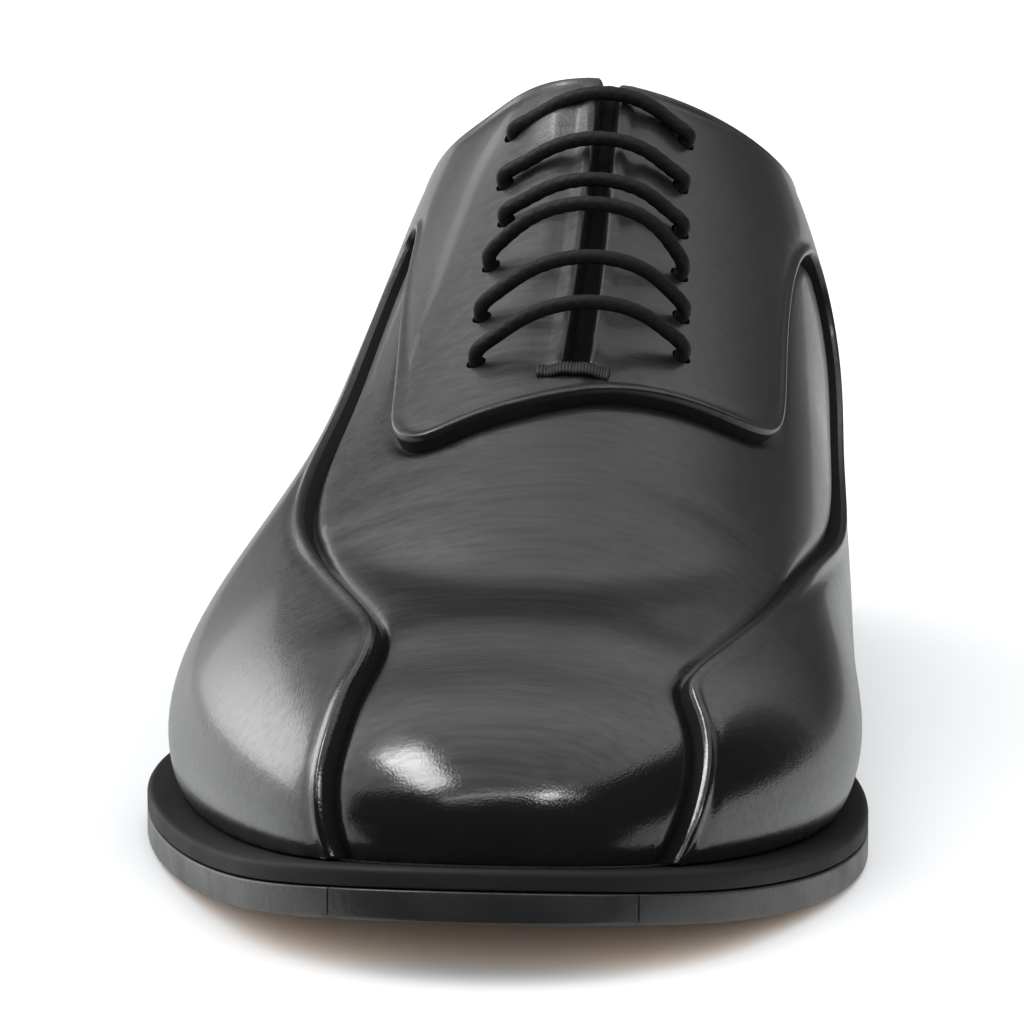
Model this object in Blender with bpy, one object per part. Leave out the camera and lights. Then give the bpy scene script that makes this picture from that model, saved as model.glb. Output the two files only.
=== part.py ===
"""Right-foot closed-lacing dress shoe in metres: +Z up, toe towards -Y, inner (medial) side towards +X.

Leather pieces are drawn flat, as a pattern, and then lasted: lasted() lays a flat point on the last.
Sole and heel pieces are slabs between heights that depend on the distance from the back of the heel.
"""

import bpy
import numpy as np
from mathutils.geometry import delaunay_2d_cdt

for thing in list(bpy.data.objects):
    bpy.data.objects.remove(thing, do_unlink=True)

# Driving sizes
LAST_LENGTH = 0.2855
GAP = 0.0003            # air kept between touching pieces
SKIN_GAP = 0.0006       # air under the overlays, whose facets differ from the upper's
WALL = 0.0018           # vamp and lining together
OVERLAY = 0.0013        # quarters
STRIP = 0.0008          # backstay
OUTSOLE = 0.0044
WELT = 0.0026
INSOLE_RISE = 0.0010    # insole above the foot of the upper
TONGUE = 0.0017
HEEL_HEIGHT = 0.0180    # floor to the underside of the outsole
TOE_SPRING = 0.0085
ARCH_FROM, ARCH_TO = 0.040, 0.180
SPRING_FROM, SPRING_TO = 0.212, 0.297
TOE_ROUND, HEEL_ROUND = 0.028, 0.026
TOE_SWING, SWING_FROM = 0.0050, 0.150    # the toe's bend towards the medial side, and where it starts
GIRTH = 0.100           # flat width given to one side of the pattern
LACE = 0.0022           # diameter
EYELET = 0.0036         # diameter

# Edge of the last's bottom: from heel, lateral half width, medial half width
FEATHER = (
    (0.0000, 0.0000, 0.0000),
    (0.0060, 0.0152, 0.0152),
    (0.0200, 0.0245, 0.0245),
    (0.0500, 0.0303, 0.0297),
    (0.0800, 0.0330, 0.0286),
    (0.1150, 0.0368, 0.0284),
    (0.1500, 0.0424, 0.0342),
    (0.1780, 0.0462, 0.0398),
    (0.2000, 0.0457, 0.0425),
    (0.2200, 0.0418, 0.0422),
    (0.2430, 0.0347, 0.0371),
    (0.2620, 0.0271, 0.0290),
    (0.2750, 0.0197, 0.0206),
    (0.2825, 0.0109, 0.0112),
    (0.2855, 0.0000, 0.0000),
)

# Ridge of the last: from heel, height over the floor, offset towards the medial side
RIDGE = (
    (0.020, 0.1080, 0.0000),
    (0.060, 0.1130, 0.0030),
    (0.090, 0.1135, 0.0055),
    (0.112, 0.1070, 0.0068),
    (0.126, 0.0995, 0.0070),
    (0.145, 0.0870, 0.0072),
    (0.165, 0.0742, 0.0074),
    (0.185, 0.0625, 0.0070),
    (0.205, 0.0530, 0.0060),
    (0.225, 0.0453, 0.0045),
    (0.243, 0.0395, 0.0030),
    (0.260, 0.0345, 0.0010),
)

# Roundness of a cross-section: from heel, flare of the lateral and of the medial side,
# height of the lateral and of the medial wall, crown
SECTION = (
    (0.000, 0.0120, 0.0120, 0.030, 0.0300, 0.42),
    (0.050, 0.0135, 0.0085, 0.030, 0.0300, 0.40),
    (0.090, 0.0085, 0.0255, 0.030, 0.0350, 0.40),
    (0.125, 0.0038, 0.0285, 0.028, 0.0320, 0.45),
    (0.160, 0.0026, 0.0212, 0.024, 0.0245, 0.50),
    (0.190, 0.0082, 0.0138, 0.021, 0.0205, 0.55),
    (0.225, 0.0105, 0.0140, 0.018, 0.0180, 0.58),
    (0.260, 0.0050, 0.0055, 0.015, 0.0150, 0.60),
    (0.2855, 0.0020, 0.0020, 0.012, 0.0120, 0.62),
)

# Sole edge outside the feather: from heel, lateral, medial
SOLE_EDGE = (
    (0.0000, 0.0046, 0.0046),
    (0.0500, 0.0044, 0.0044),
    (0.0900, 0.0042, 0.0040),
    (0.1300, 0.0048, 0.0040),
    (0.1800, 0.0080, 0.0072),
    (0.2200, 0.0090, 0.0086),
    (0.2600, 0.0100, 0.0100),
    (0.2855, 0.0112, 0.0112),
)

# Collar edge: from heel, lateral height, medial height over the floor
TOPLINE = (
    (0.000, 0.0830, 0.0830),
    (0.020, 0.0788, 0.0785),
    (0.042, 0.0748, 0.0745),
    (0.062, 0.0756, 0.0758),
    (0.085, 0.0832, 0.0816),
    (0.105, 0.0898, 0.0892),
    (0.118, 0.0950, 0.0954),
    (0.126, 0.0995, 0.0995),
)
THROAT_TOP = 0.126
THROAT_FOOT = 0.183
THROAT_HALF = 0.020     # half width of the lace slit, as a share of the girth

# Edge of the quarters from the toe up to the notch, then round the facing to the ridge.
# From heel, share of the girth up from the feather.
WING_LATERAL = (
    (0.2772, 0.000),
    (0.2741, 0.225),
    (0.2692, 0.410),
    (0.2640, 0.505),
    (0.2570, 0.598),
    (0.2488, 0.650),
    (0.2356, 0.629),
    (0.2200, 0.575),
    (0.2010, 0.526),
    (0.1820, 0.517),
    (0.1640, 0.512),
    (0.1480, 0.504),
    (0.1350, 0.500),
    (0.1240, 0.508),
    (0.1145, 0.535),
    (0.1115, 0.570),
    (0.1160, 0.603),
    (0.1330, 0.632),
    (0.1562, 0.660),
    (0.1790, 0.681),
    (0.1885, 0.696),
    (0.1930, 0.738),
    (0.1927, 0.825),
    (0.1914, 0.910),
    (0.1896, 1.000),
)
WING_MEDIAL = (
    (0.2728, 0.000),
    (0.2677, 0.195),
    (0.2633, 0.298),
    (0.2581, 0.418),
    (0.2531, 0.504),
    (0.2432, 0.521),
    (0.2286, 0.506),
    (0.2118, 0.477),
    (0.1900, 0.432),
    (0.1720, 0.385),
    (0.1560, 0.347),
    (0.1410, 0.326),
    (0.1280, 0.319),
    (0.1160, 0.322),
    (0.1060, 0.335),
    (0.0988, 0.366),
    (0.0948, 0.415),
    (0.0940, 0.465),
    (0.0968, 0.510),
    (0.1045, 0.548),
    (0.1160, 0.583),
    (0.1300, 0.602),
    (0.1480, 0.596),
    (0.1600, 0.583),
    (0.1672, 0.590),
    (0.1722, 0.622),
    (0.1775, 0.690),
    (0.1815, 0.770),
    (0.1858, 0.880),
    (0.1896, 1.000),
)

# Half width of the backstay: share of the collar's height, width
BACKSTAY = (
    (0.00, 0.0180),
    (0.30, 0.0140),
    (0.65, 0.0096),
    (0.85, 0.0098),
    (1.00, 0.0130),
)

# Eyelets and the lace bars between them, lowest first.
# Lateral side: from heel, share of the girth from the ridge. Medial side: the same two.
# Rise of the bar over the facing at its middle.
EYELETS = (
    (0.1790, 0.164, 0.1734, 0.173, 0.0044),
    (0.1686, 0.162, 0.1652, 0.157, 0.0046),
    (0.1574, 0.154, 0.1568, 0.140, 0.0056),
    (0.1486, 0.134, 0.1480, 0.129, 0.0018),
    (0.1398, 0.142, 0.1391, 0.118, 0.0010),
    (0.1304, 0.131, 0.1294, 0.116, 0.0004),
)

# Heel: share of the height where each layer ends, breast line (across, from heel) and the rubber's front
TOP_PIECE, LOWER_LIFT = 0.35, 0.675
HEEL_TAPER = 0.045
HEEL_CENTRE = 0.040
BREAST = (
    (-0.045, 0.0745),
    (-0.036, 0.0740),
    (-0.018, 0.0700),
    (0.000, 0.0690),
    (0.015, 0.0720),
    (0.028, 0.0800),
    (0.034, 0.0850),
    (0.045, 0.0860),
)
RUBBER_FRONT = 0.0445
TOE_PLATE = 0.0112      # length of the plate at the middle of the tip
TOE_PLATE_BOW = 0.0040


def spline(knots, values):
    """Natural cubic spline through the knots, as a function of an array."""
    knots, values = np.asarray(knots, float), np.asarray(values, float)
    step = np.diff(knots)
    slope = np.diff(values) / step
    system = np.eye(len(knots))
    right = np.zeros(len(knots))
    for i in range(1, len(knots) - 1):
        system[i, i - 1:i + 2] = step[i - 1], 2 * (step[i - 1] + step[i]), step[i]
        right[i] = 6 * (slope[i] - slope[i - 1])
    bend = np.linalg.solve(system, right)

    def value(at):
        at = np.clip(at, knots[0], knots[-1])
        i = np.clip(np.searchsorted(knots, at) - 1, 0, len(step) - 1)
        t = at - knots[i]
        start = slope[i] - step[i] * (2 * bend[i] + bend[i + 1]) / 6
        return values[i] + t * start + t**2 * bend[i] / 2 + t**3 * (bend[i + 1] - bend[i]) / (6 * step[i])

    return value


def columns(table):
    """One spline for each column of a table after its first."""
    knots, *rest = zip(*sorted(table))
    return [spline(knots, values) for values in rest]


def turn_of(along):
    """Angle that runs evenly round toe and heel: 0 at the toe's tip, pi at the back of the heel."""
    return np.arccos(np.clip(2 * np.asarray(along) / LAST_LENGTH - 1, -1, 1))


turns = turn_of([row[0] for row in FEATHER])
order = np.argsort(turns)
half_width = {
    -1: spline(turns[order], np.array([row[1] for row in FEATHER])[order]),
    1: spline(turns[order], np.array([row[2] for row in FEATHER])[order]),
}
ridge_height, ridge_offset = columns(RIDGE)
flare_lateral, flare_medial, wall_lateral, wall_medial, crown = columns(SECTION)
SIDE_COLUMNS = {-1: (flare_lateral, wall_lateral), 1: (flare_medial, wall_medial)}
edge_lateral, edge_medial = columns(SOLE_EDGE)
collar = dict(zip((-1, 1), columns(TOPLINE)))
strip_half, = columns(BACKSTAY)
breast_line, = columns(BREAST)


def underside(along):
    """Height of the outsole's lower face."""
    arch = np.clip((ARCH_TO - along) / (ARCH_TO - ARCH_FROM), 0, 1)
    spring = np.clip((along - SPRING_FROM) / (SPRING_TO - SPRING_FROM), 0, 1.2)
    return HEEL_HEIGHT * arch**2 * (3 - 2 * arch) + TOE_SPRING * spring**2


def feather_height(along):
    """Height of the foot of the upper."""
    return underside(along) + OUTSOLE + WELT + 2 * GAP


def foot(side, turn):
    """Feather point (across, along) and its outward direction in plan."""
    small = 1e-4

    def point(at):
        return np.stack([side * half_width[side](np.abs(at)) * np.sign(at + 1e-12),
                         LAST_LENGTH * (1 + np.cos(at)) / 2], axis=-1)

    run = point(np.minimum(turn + small, np.pi)) - point(np.maximum(turn - small, 0))
    out = side * np.stack([-run[..., 1], run[..., 0]], axis=-1)
    return point(turn), out / np.linalg.norm(out, axis=-1, keepdims=True)


def controls(side, along):
    """Bezier points of the cross-sections of one side, from the feather up to the ridge."""
    base, out = foot(side, turn_of(along))
    from_toe = (np.maximum(LAST_LENGTH - along, 0)**3 + TOE_ROUND**3)**(1 / 3)
    top_along = (np.maximum(LAST_LENGTH - from_toe, 0)**3 + HEEL_ROUND**3)**(1 / 3)
    rise = (ridge_height(top_along + 1e-5) - ridge_height(top_along - 1e-5)) / 2e-5
    flare, rise_of_wall = (column(along) for column in SIDE_COLUMNS[side])
    low = np.column_stack([base, feather_height(along)])
    wall = low + np.column_stack([out * flare[:, None], rise_of_wall])
    top = np.column_stack([ridge_offset(top_along), top_along, ridge_height(top_along)])
    inward = top[:, :2] - base
    shoulder = top - crown(along)[:, None] * np.column_stack([inward, inward[:, 1] * rise])
    return np.stack([low, wall, shoulder, top], axis=1)


def bernstein(t):
    return np.stack([(1 - t)**3, 3 * t * (1 - t)**2, 3 * t**2 * (1 - t), t**3], axis=-1)


def on_last(along, around):
    """Points (across, along, height) of the last; around runs from -1 over the ridge at 0 to +1."""
    points = np.empty((len(along), 3))
    fine = np.linspace(0, 1, 41)
    for side in (-1, 1):
        pick = (around < 0) == (side < 0)
        if not pick.any():
            continue
        bezier = controls(side, along[pick])
        rows = np.einsum("tk,nkc->ntc", bernstein(fine), bezier)
        length = np.cumsum(np.linalg.norm(np.diff(rows, axis=1), axis=2), axis=1)
        length = np.column_stack([np.zeros(len(length)), length])
        goal = (1 - np.abs(around[pick])) * length[:, -1]
        at = np.array([np.interp(g, row, fine) for g, row in zip(goal, length)])
        points[pick] = np.einsum("nk,nkc->nc", bernstein(at), bezier)
    return points


def lengths(points):
    """Length of a line up to each of its points."""
    return np.concatenate([[0], np.cumsum(np.linalg.norm(np.diff(points, axis=0), axis=1))])


# Flat pattern: distance round the feather from the toe's tip, and the girth on either side of the ridge
turn_steps = np.linspace(0, np.pi, 2001)
round_steps = np.mean([lengths(foot(side, turn_steps)[0]) for side in (-1, 1)], axis=0)
HEEL_SEAM = round_steps[-1]


def flat(side, along, share):
    """Flat point of a place: its distance from the heel and its share of the girth up from the feather."""
    along, share = np.broadcast_arrays(np.asarray(along, float), np.asarray(share, float))
    return np.column_stack([np.interp(turn_of(along), turn_steps, round_steps), side * (1 - share) * GIRTH])


def place_of(points):
    """Distance from the heel and signed girth of flat points."""
    turn = np.interp(points[:, 0], round_steps, turn_steps)
    return LAST_LENGTH * (1 + np.cos(turn)) / 2, points[:, 1] / GIRTH


def resample(points, step):
    """Even points along a line, both ends kept."""
    points = np.asarray(points, float)
    length = lengths(points)
    count = max(2, int(round(length[-1] / step)) + 1)
    at = np.linspace(0, length[-1], count)
    return np.column_stack([np.interp(at, length, points[:, k]) for k in (0, 1)])


def smooth(points, step):
    """Even points along a spline through a few points."""
    points = np.asarray(points, float)
    length = lengths(points)
    fine = np.linspace(0, length[-1], 400)
    return resample(np.column_stack([spline(length, points[:, k])(fine) for k in (0, 1)]), step)


def loop_of(*runs):
    """Closed loop from runs laid end to end; shared ends are kept once."""
    points = np.concatenate(runs)
    away = np.linalg.norm(points - np.roll(points, 1, axis=0), axis=1) > 1e-6
    return points[away]


def inside(points, loops):
    """Which points lie inside an odd number of loops."""
    odd = np.zeros(len(points), bool)
    for loop in loops:
        for (x0, y0), (x1, y1) in zip(loop, np.roll(loop, -1, axis=0)):
            spans = (y0 > points[:, 1]) != (y1 > points[:, 1])
            odd ^= spans & (points[:, 0] < (x1 - x0) * (points[:, 1] - y0) / (y1 - y0 + 1e-30) + x0)
    return odd


def fill(loops, spacing):
    """Flat points and triangles of the region inside the loops, with grid points between them."""
    low = np.min([loop.min(axis=0) for loop in loops], axis=0)
    high = np.max([loop.max(axis=0) for loop in loops], axis=0)
    counts = np.maximum(np.round((high - low) / spacing).astype(int), 1)
    axes = [np.linspace(low[k], high[k], counts[k] + 1) for k in (0, 1)]
    grid = np.array(np.meshgrid(*axes)).reshape(2, -1).T
    clear = inside(grid, loops)
    for loop in loops:
        for start, end in zip(loop, np.roll(loop, -1, axis=0)):
            run = end - start
            t = np.clip((grid - start) @ run / (run @ run), 0, 1)
            clear &= np.linalg.norm(grid - start - t[:, None] * run, axis=1) > 0.45 * np.min(spacing)
    grid = grid[clear]
    points, edges = list(grid), []
    for loop in loops:
        first = len(points)
        points += list(loop)
        edges += [(first + k, first + (k + 1) % len(loop)) for k in range(len(loop))]
    found = delaunay_2d_cdt([tuple(point * 1000) for point in points], edges, [], 0, 1e-6)
    corners = np.array([tuple(corner) for corner in found[0]]) / 1000
    triangles = np.array([list(face) for face in found[2]])
    return corners, triangles[inside(corners[triangles].mean(axis=1), loops)]


def add_object(name, points, faces, material):
    mesh = bpy.data.meshes.new(name)
    mesh.from_pydata([tuple(point) for point in points], [], faces)
    mesh.materials.append(material)
    piece = bpy.data.objects.new(name, mesh)
    bpy.context.collection.objects.link(piece)
    piece.parent = shoe
    return piece


def sewn(points):
    """Index of the first of the flat points that meet at the toe's or the heel's seam."""
    keys = np.round(points, 7)
    at_seam = (keys[:, 0] <= 1e-6) | (keys[:, 0] >= HEEL_SEAM - 1e-6)
    keys[at_seam, 1] = np.abs(keys[at_seam, 1])
    _, first, same = np.unique(keys, axis=0, return_index=True, return_inverse=True)
    return first, same.ravel()


def swung(points):
    """World points of (across, along, height) points, with the toe bent towards the medial side."""
    reach = np.maximum(points[:, 1] - SWING_FROM, 0) / (LAST_LENGTH - SWING_FROM)
    return np.column_stack([points[:, 0] + TOE_SWING * reach**2, -points[:, 1], points[:, 2]])


def solid(name, low, high, triangles, material):
    """Closed body between two faces that share their triangles."""
    count = len(low)
    faces = [tuple(face + count) for face in triangles] + [tuple(face[::-1]) for face in triangles]
    runs = {(face[k], face[(k + 1) % 3]) for face in triangles for k in range(3)}
    faces += [(a, b, b + count, a + count) for a, b in runs if (b, a) not in runs]
    faces = [tuple(int(k) for k in face[::-1]) for face in faces]
    return add_object(name, swung(np.concatenate([low, high])), faces, material)


def lasted(points, triangles, depths):
    """The flat points laid over the last at each depth outside its surface, as (across, along, height)."""
    along, around = place_of(points)
    base = on_last(along, around)
    corner = base[triangles]
    face = np.cross(corner[:, 1] - corner[:, 0], corner[:, 2] - corner[:, 0])
    normal = np.zeros_like(base)
    for k in range(3):
        np.add.at(normal, triangles[:, k], face)
    upright = np.clip((1 - np.abs(around)) / 0.08, 0, 1)
    normal[:, 2] *= upright
    normal /= np.linalg.norm(normal, axis=1, keepdims=True)
    laid = []
    for depth in depths:
        moved = base + depth * normal
        moved[:, 2] += (1 - upright) * (feather_height(moved[:, 1]) - feather_height(base[:, 1]))
        laid.append(moved)
    return laid


def leather(name, loops, spacing, inner, outer, material):
    """Pattern piece lasted between two depths."""
    points, triangles = fill(loops, spacing)
    first, same = sewn(points)
    points, triangles = points[first], same[triangles]
    low, high = lasted(points, triangles, (inner, outer))
    return solid(name, low, high, triangles, material)


def slab(name, loops, spacing, low_at, high_at, material):
    """Plan piece between two surfaces, each a function that places plan points."""
    points, triangles = fill(loops, spacing)
    return solid(name, low_at(points), high_at(points), triangles, material)


def at_height(height):
    return lambda points: np.column_stack([points, height(points[:, 1])])


def paint(name, colour, roughness):
    material = bpy.data.materials.new(name)
    material.use_nodes = True
    shader = material.node_tree.nodes["Principled BSDF"]
    shader.inputs["Base Color"].default_value = (*colour, 1)
    shader.inputs["Roughness"].default_value = roughness
    shader.inputs["Metallic"].default_value = 0
    return material


def sole_outline(margin, step):
    """Closed plan outline at a margin outside the feather."""
    halves = []
    for side in (-1, 1):
        base, out = foot(side, turn_steps)
        halves.append(base + out * margin(side, base[:, 1])[:, None])
    return resample(np.concatenate([halves[0], halves[1][::-1]]), step)[:-1]


def sole_edge(side, along):
    return (edge_lateral if side < 0 else edge_medial)(along)


def cut(loop, line, keep, step):
    """Part of a closed plan loop behind (keep 1) or in front of (keep -1) a line across the shoe."""
    over = keep * (line(loop[:, 0]) - loop[:, 1])
    start = next(k for k in range(len(loop)) if over[k] >= 0 and over[k - 1] < 0)
    loop, over = np.roll(loop, -start, axis=0), np.roll(over, -start)
    stop = int(np.argmax(over < 0))
    ends = []
    for a, b in ((-1, 0), (stop - 1, stop)):
        t = over[a] / (over[a] - over[b])
        ends.append(loop[a] + t * (loop[b] - loop[a]))
    across = np.linspace(ends[1][0], ends[0][0], 200)
    seam = resample(np.column_stack([across, line(across)]), step)
    return loop_of(loop[:stop], seam)


def wing_run(side, step):
    """Front edge of the quarters from the toe up to the notch, then round the facing to the ridge."""
    rows = WING_LATERAL if side < 0 else WING_MEDIAL
    return smooth([flat(side, *row)[0] for row in rows], step)


def collar_share(side, along):
    """Share of the girth where the collar cuts each cross-section."""
    shares = np.linspace(0, 1, 120)
    found = []
    for place, height in zip(along, collar[side](along)):
        heights = on_last(np.full(120, place), side * (1 - shares))[:, 2]
        found.append(np.interp(height, heights, shares))
    return np.array(found)


def collar_run(side, step, stop=0.0):
    """Collar edge from the lace slit back to a flat distance from the heel seam."""
    along = THROAT_TOP * (1 - np.linspace(0, 1, 90)**2)
    share = np.minimum(collar_share(side, along), 1 - THROAT_HALF)
    points = flat(side, along, share)
    return resample(points[points[:, 0] <= HEEL_SEAM - stop], step)


def throat_run(side, step):
    """Edge of the lace slit from its foot up to the collar."""
    return resample(flat(side, [THROAT_FOOT, THROAT_TOP], 1 - THROAT_HALF), step)


def feather_run(side, front, back, step):
    return resample(np.array([[front, side * GIRTH], [back, side * GIRTH]]), step)


def strip_run(side, step, clear):
    """Edge of the backstay from the feather up to the collar."""
    top = collar_share(side, np.array([0.0]))[0]
    share = np.linspace(0, 1, 11)
    half = strip_half(share) + clear
    return smooth(np.column_stack([HEEL_SEAM - half, side * (1 - share * top) * GIRTH]), step)


def eyelet_loops():
    """Six-sided holes of the eyelets in the flat pattern."""
    corner = np.arange(6) * np.pi / 3
    ring = EYELET / 2 * np.column_stack([np.cos(corner), np.sin(corner)])
    places = [(-1, *row[:2]) for row in EYELETS] + [(1, *row[2:4]) for row in EYELETS]
    return [flat(side, along, 1 - around) + ring for side, along, around in places]


shoe = bpy.data.objects.new("shoe", None)
bpy.context.collection.objects.link(shoe)

calf = paint("black_calf", (0.012, 0.012, 0.013), 0.28)
edge_black = paint("edge_black", (0.016, 0.016, 0.017), 0.42)
sole_leather = paint("sole_leather", (0.46, 0.30, 0.16), 0.55)
stack_leather = paint("stack_leather", (0.018, 0.017, 0.017), 0.40)
rubber = paint("black_rubber", (0.020, 0.020, 0.021), 0.70)
lining = paint("lining_leather", (0.42, 0.29, 0.18), 0.60)
cord = paint("waxed_cord", (0.014, 0.014, 0.015), 0.45)

# Upper: one hollow wall, open at the collar, the throat and underneath
EDGE, MESH = 0.0062, np.array([0.0070, 0.0079])
upper_loop = loop_of(
    feather_run(-1, 0, HEEL_SEAM, EDGE),
    resample([flat(-1, 0, 0)[0], collar_run(-1, EDGE)[-1]], EDGE),
    collar_run(-1, EDGE)[::-1],
    throat_run(-1, EDGE)[::-1],
    throat_run(1, EDGE),
    collar_run(1, EDGE),
    resample([collar_run(1, EDGE)[-1], flat(1, 0, 0)[0]], EDGE),
    feather_run(1, 0, HEEL_SEAM, EDGE)[::-1],
    resample([[0, GIRTH], [0, 0]], EDGE),
    resample([[0, 0], [0, -GIRTH]], EDGE),
)
leather("upper", [upper_loop] + eyelet_loops(), MESH, 0, WALL, calf)

# Quarters with the facing: one overlay over both sides, joined across the foot of the lacing
quarter_runs = {}
for side in (-1, 1):
    wing = wing_run(side, EDGE)
    back = strip_run(side, EDGE, GAP)
    top = collar_run(side, EDGE)
    top = top[top[:, 0] < back[-1, 0] - 0.6 * EDGE]
    quarter_runs[side] = np.concatenate([
        wing[::-1],
        feather_run(side, wing[0, 0], back[0, 0], EDGE)[1:],
        back[1:],
        top[::-1],
        throat_run(side, EDGE)[::-1],
    ])
quarter_loop = loop_of(quarter_runs[-1], quarter_runs[1][::-1])
leather("quarters", [quarter_loop] + eyelet_loops(), MESH, WALL + SKIN_GAP, WALL + SKIN_GAP + OVERLAY, calf)

# Backstay: the strip between the quarters, one half on each side of the heel seam
strip_loops = []
for side in (-1, 1):
    edge = strip_run(side, EDGE, 0)
    seam_top = collar_run(side, EDGE)[-1]
    strip_loops.append(loop_of(edge, [seam_top], resample([seam_top, [HEEL_SEAM, side * GIRTH]], EDGE),
                               feather_run(side, edge[0, 0], HEEL_SEAM, EDGE)[::-1]))
leather("backstay", strip_loops, 0.75 * MESH, WALL + SKIN_GAP, WALL + SKIN_GAP + STRIP, calf)

# Tongue: under the throat, inside the upper
# Edge of the tongue: from heel, share of the girth up from the feather
TONGUE_SHAPE = (
    (0.2000, 0.86),
    (0.1980, 0.80),
    (0.1750, 0.72),
    (0.1500, 0.73),
    (0.1300, 0.75),
    (0.1215, 0.80),
)
tongue_loop = loop_of(
    smooth([flat(-1, *row)[0] for row in TONGUE_SHAPE], EDGE),
    smooth([flat(1, *row)[0] for row in TONGUE_SHAPE], EDGE)[::-1],
)
leather("tongue", [tongue_loop], MESH, -2 * GAP - TONGUE, -2 * GAP, calf)

# Bottom: insole, welt, outsole and the toe plate
def inset(distance):
    return lambda side, along: np.full_like(along, -distance)


insole_loop = sole_outline(inset(0.0007), 0.010)
slab("insole", [insole_loop], 0.014, at_height(lambda a: underside(a) + OUTSOLE + GAP),
     at_height(lambda a: feather_height(a) + INSOLE_RISE), lining)
sole_loop = sole_outline(sole_edge, 0.0075)
welt_hole = sole_outline(inset(0.0003), 0.0075)
slab("welt", [sole_loop, welt_hole], 0.020, at_height(lambda a: underside(a) + OUTSOLE + GAP),
     at_height(lambda a: underside(a) + OUTSOLE + GAP + WELT), edge_black)
tip = sole_loop[:, 1].max()


def plate_line(across):
    return tip - TOE_PLATE + TOE_PLATE_BOW * (across / 0.022)**2


outsole_loop = cut(sole_loop, plate_line, 1, 0.006)
plate_loop = cut(sole_loop, lambda x: plate_line(x) + GAP, -1, 0.006)
for name, loop, material in (("outsole", outsole_loop, sole_leather), ("toe_plate", plate_loop, rubber)):
    slab(name, [loop], 0.012, at_height(underside), at_height(lambda a: underside(a) + OUTSOLE), material)


# Heel: lifts and top piece share one tapered form
def heel_level(share, drop):
    """Places plan points at a share of the heel's height, less a drop, drawn in towards the floor."""
    def place(points):
        scale = 1 - HEEL_TAPER * (1 - share)
        across = points[:, 0] * scale
        along = HEEL_CENTRE + (points[:, 1] - HEEL_CENTRE) * scale
        return np.column_stack([across, along, share * underside(points[:, 1]) - drop])
    return place


heel_loop = cut(sole_loop, breast_line, 1, 0.006)
for name, low, high in (("heel_lift_upper", LOWER_LIFT, 1), ("heel_lift_lower", TOP_PIECE, LOWER_LIFT)):
    slab(name, [heel_loop], 0.012, heel_level(low, 0), heel_level(high, GAP), stack_leather)
rubber_loop = cut(heel_loop, lambda x: np.full_like(x, RUBBER_FRONT), 1, 0.008)
front_loop = cut(heel_loop, lambda x: np.full_like(x, RUBBER_FRONT + GAP), -1, 0.008)
for name, loop, material in (("top_piece_rubber", rubber_loop, rubber),
                             ("top_piece_leather", front_loop, sole_leather)):
    slab(name, [loop], 0.012, heel_level(0, 0), heel_level(TOP_PIECE, GAP), material)

# Lace: six bars, each bowed from its lateral eyelet over to its medial one
for row, (lateral_along, lateral_around, medial_along, medial_around, rise) in enumerate(EYELETS):
    share = np.linspace(-1, 1, 9)
    along = np.interp(share, (-1, 1), (lateral_along, medial_along))
    base = on_last(along, np.interp(share, (-1, 0, 1), (-lateral_around, 0, medial_around)))
    lift = WALL + SKIN_GAP + OVERLAY + 2 * GAP + LACE / 2 + rise * (1 - share**2)
    slope = (ridge_height(along + 0.001) - ridge_height(along - 0.001)) / 0.002
    out = np.column_stack([share * 0.75, -slope, np.ones(9)])
    out /= np.linalg.norm(out, axis=1, keepdims=True)
    points = swung(base + out * lift[:, None])
    shape = bpy.data.curves.new(f"lace_bar_{row + 1}", "CURVE")
    shape.dimensions = "3D"
    shape.bevel_depth = LACE / 2
    shape.bevel_resolution = 2
    shape.use_fill_caps = True
    line = shape.splines.new("POLY")
    line.points.add(len(points) - 1)
    for knot, point in zip(line.points, points):
        knot.co = (*point, 1)
    shape.materials.append(cord)
    bar = bpy.data.objects.new(f"lace_bar_{row + 1}", shape)
    bpy.context.collection.objects.link(bar)
    bar.parent = shoe

# The shoe stands with the middle of its box over the origin
corners = np.concatenate([np.array([tuple(vertex.co) for vertex in piece.data.vertices])
                          for piece in bpy.data.objects if piece.type == "MESH"])
middle = (corners.min(axis=0) + corners.max(axis=0)) / 2
shoe.location = (-middle[0], -middle[1], 0)
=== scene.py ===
"""Visual model of a right dress shoe in metres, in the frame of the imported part: +Z up, toe towards -Y.

The sections follow the shoe as it is made, from the insole and the upper to the sole, the heel and the lace.
A place on the shoe is written as across (medial side positive), along (from the back of the heel) and height.
"""

import bmesh
import bpy
import numpy as np
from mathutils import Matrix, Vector
from mathutils.geometry import delaunay_2d_cdt
from mathutils.kdtree import KDTree

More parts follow.
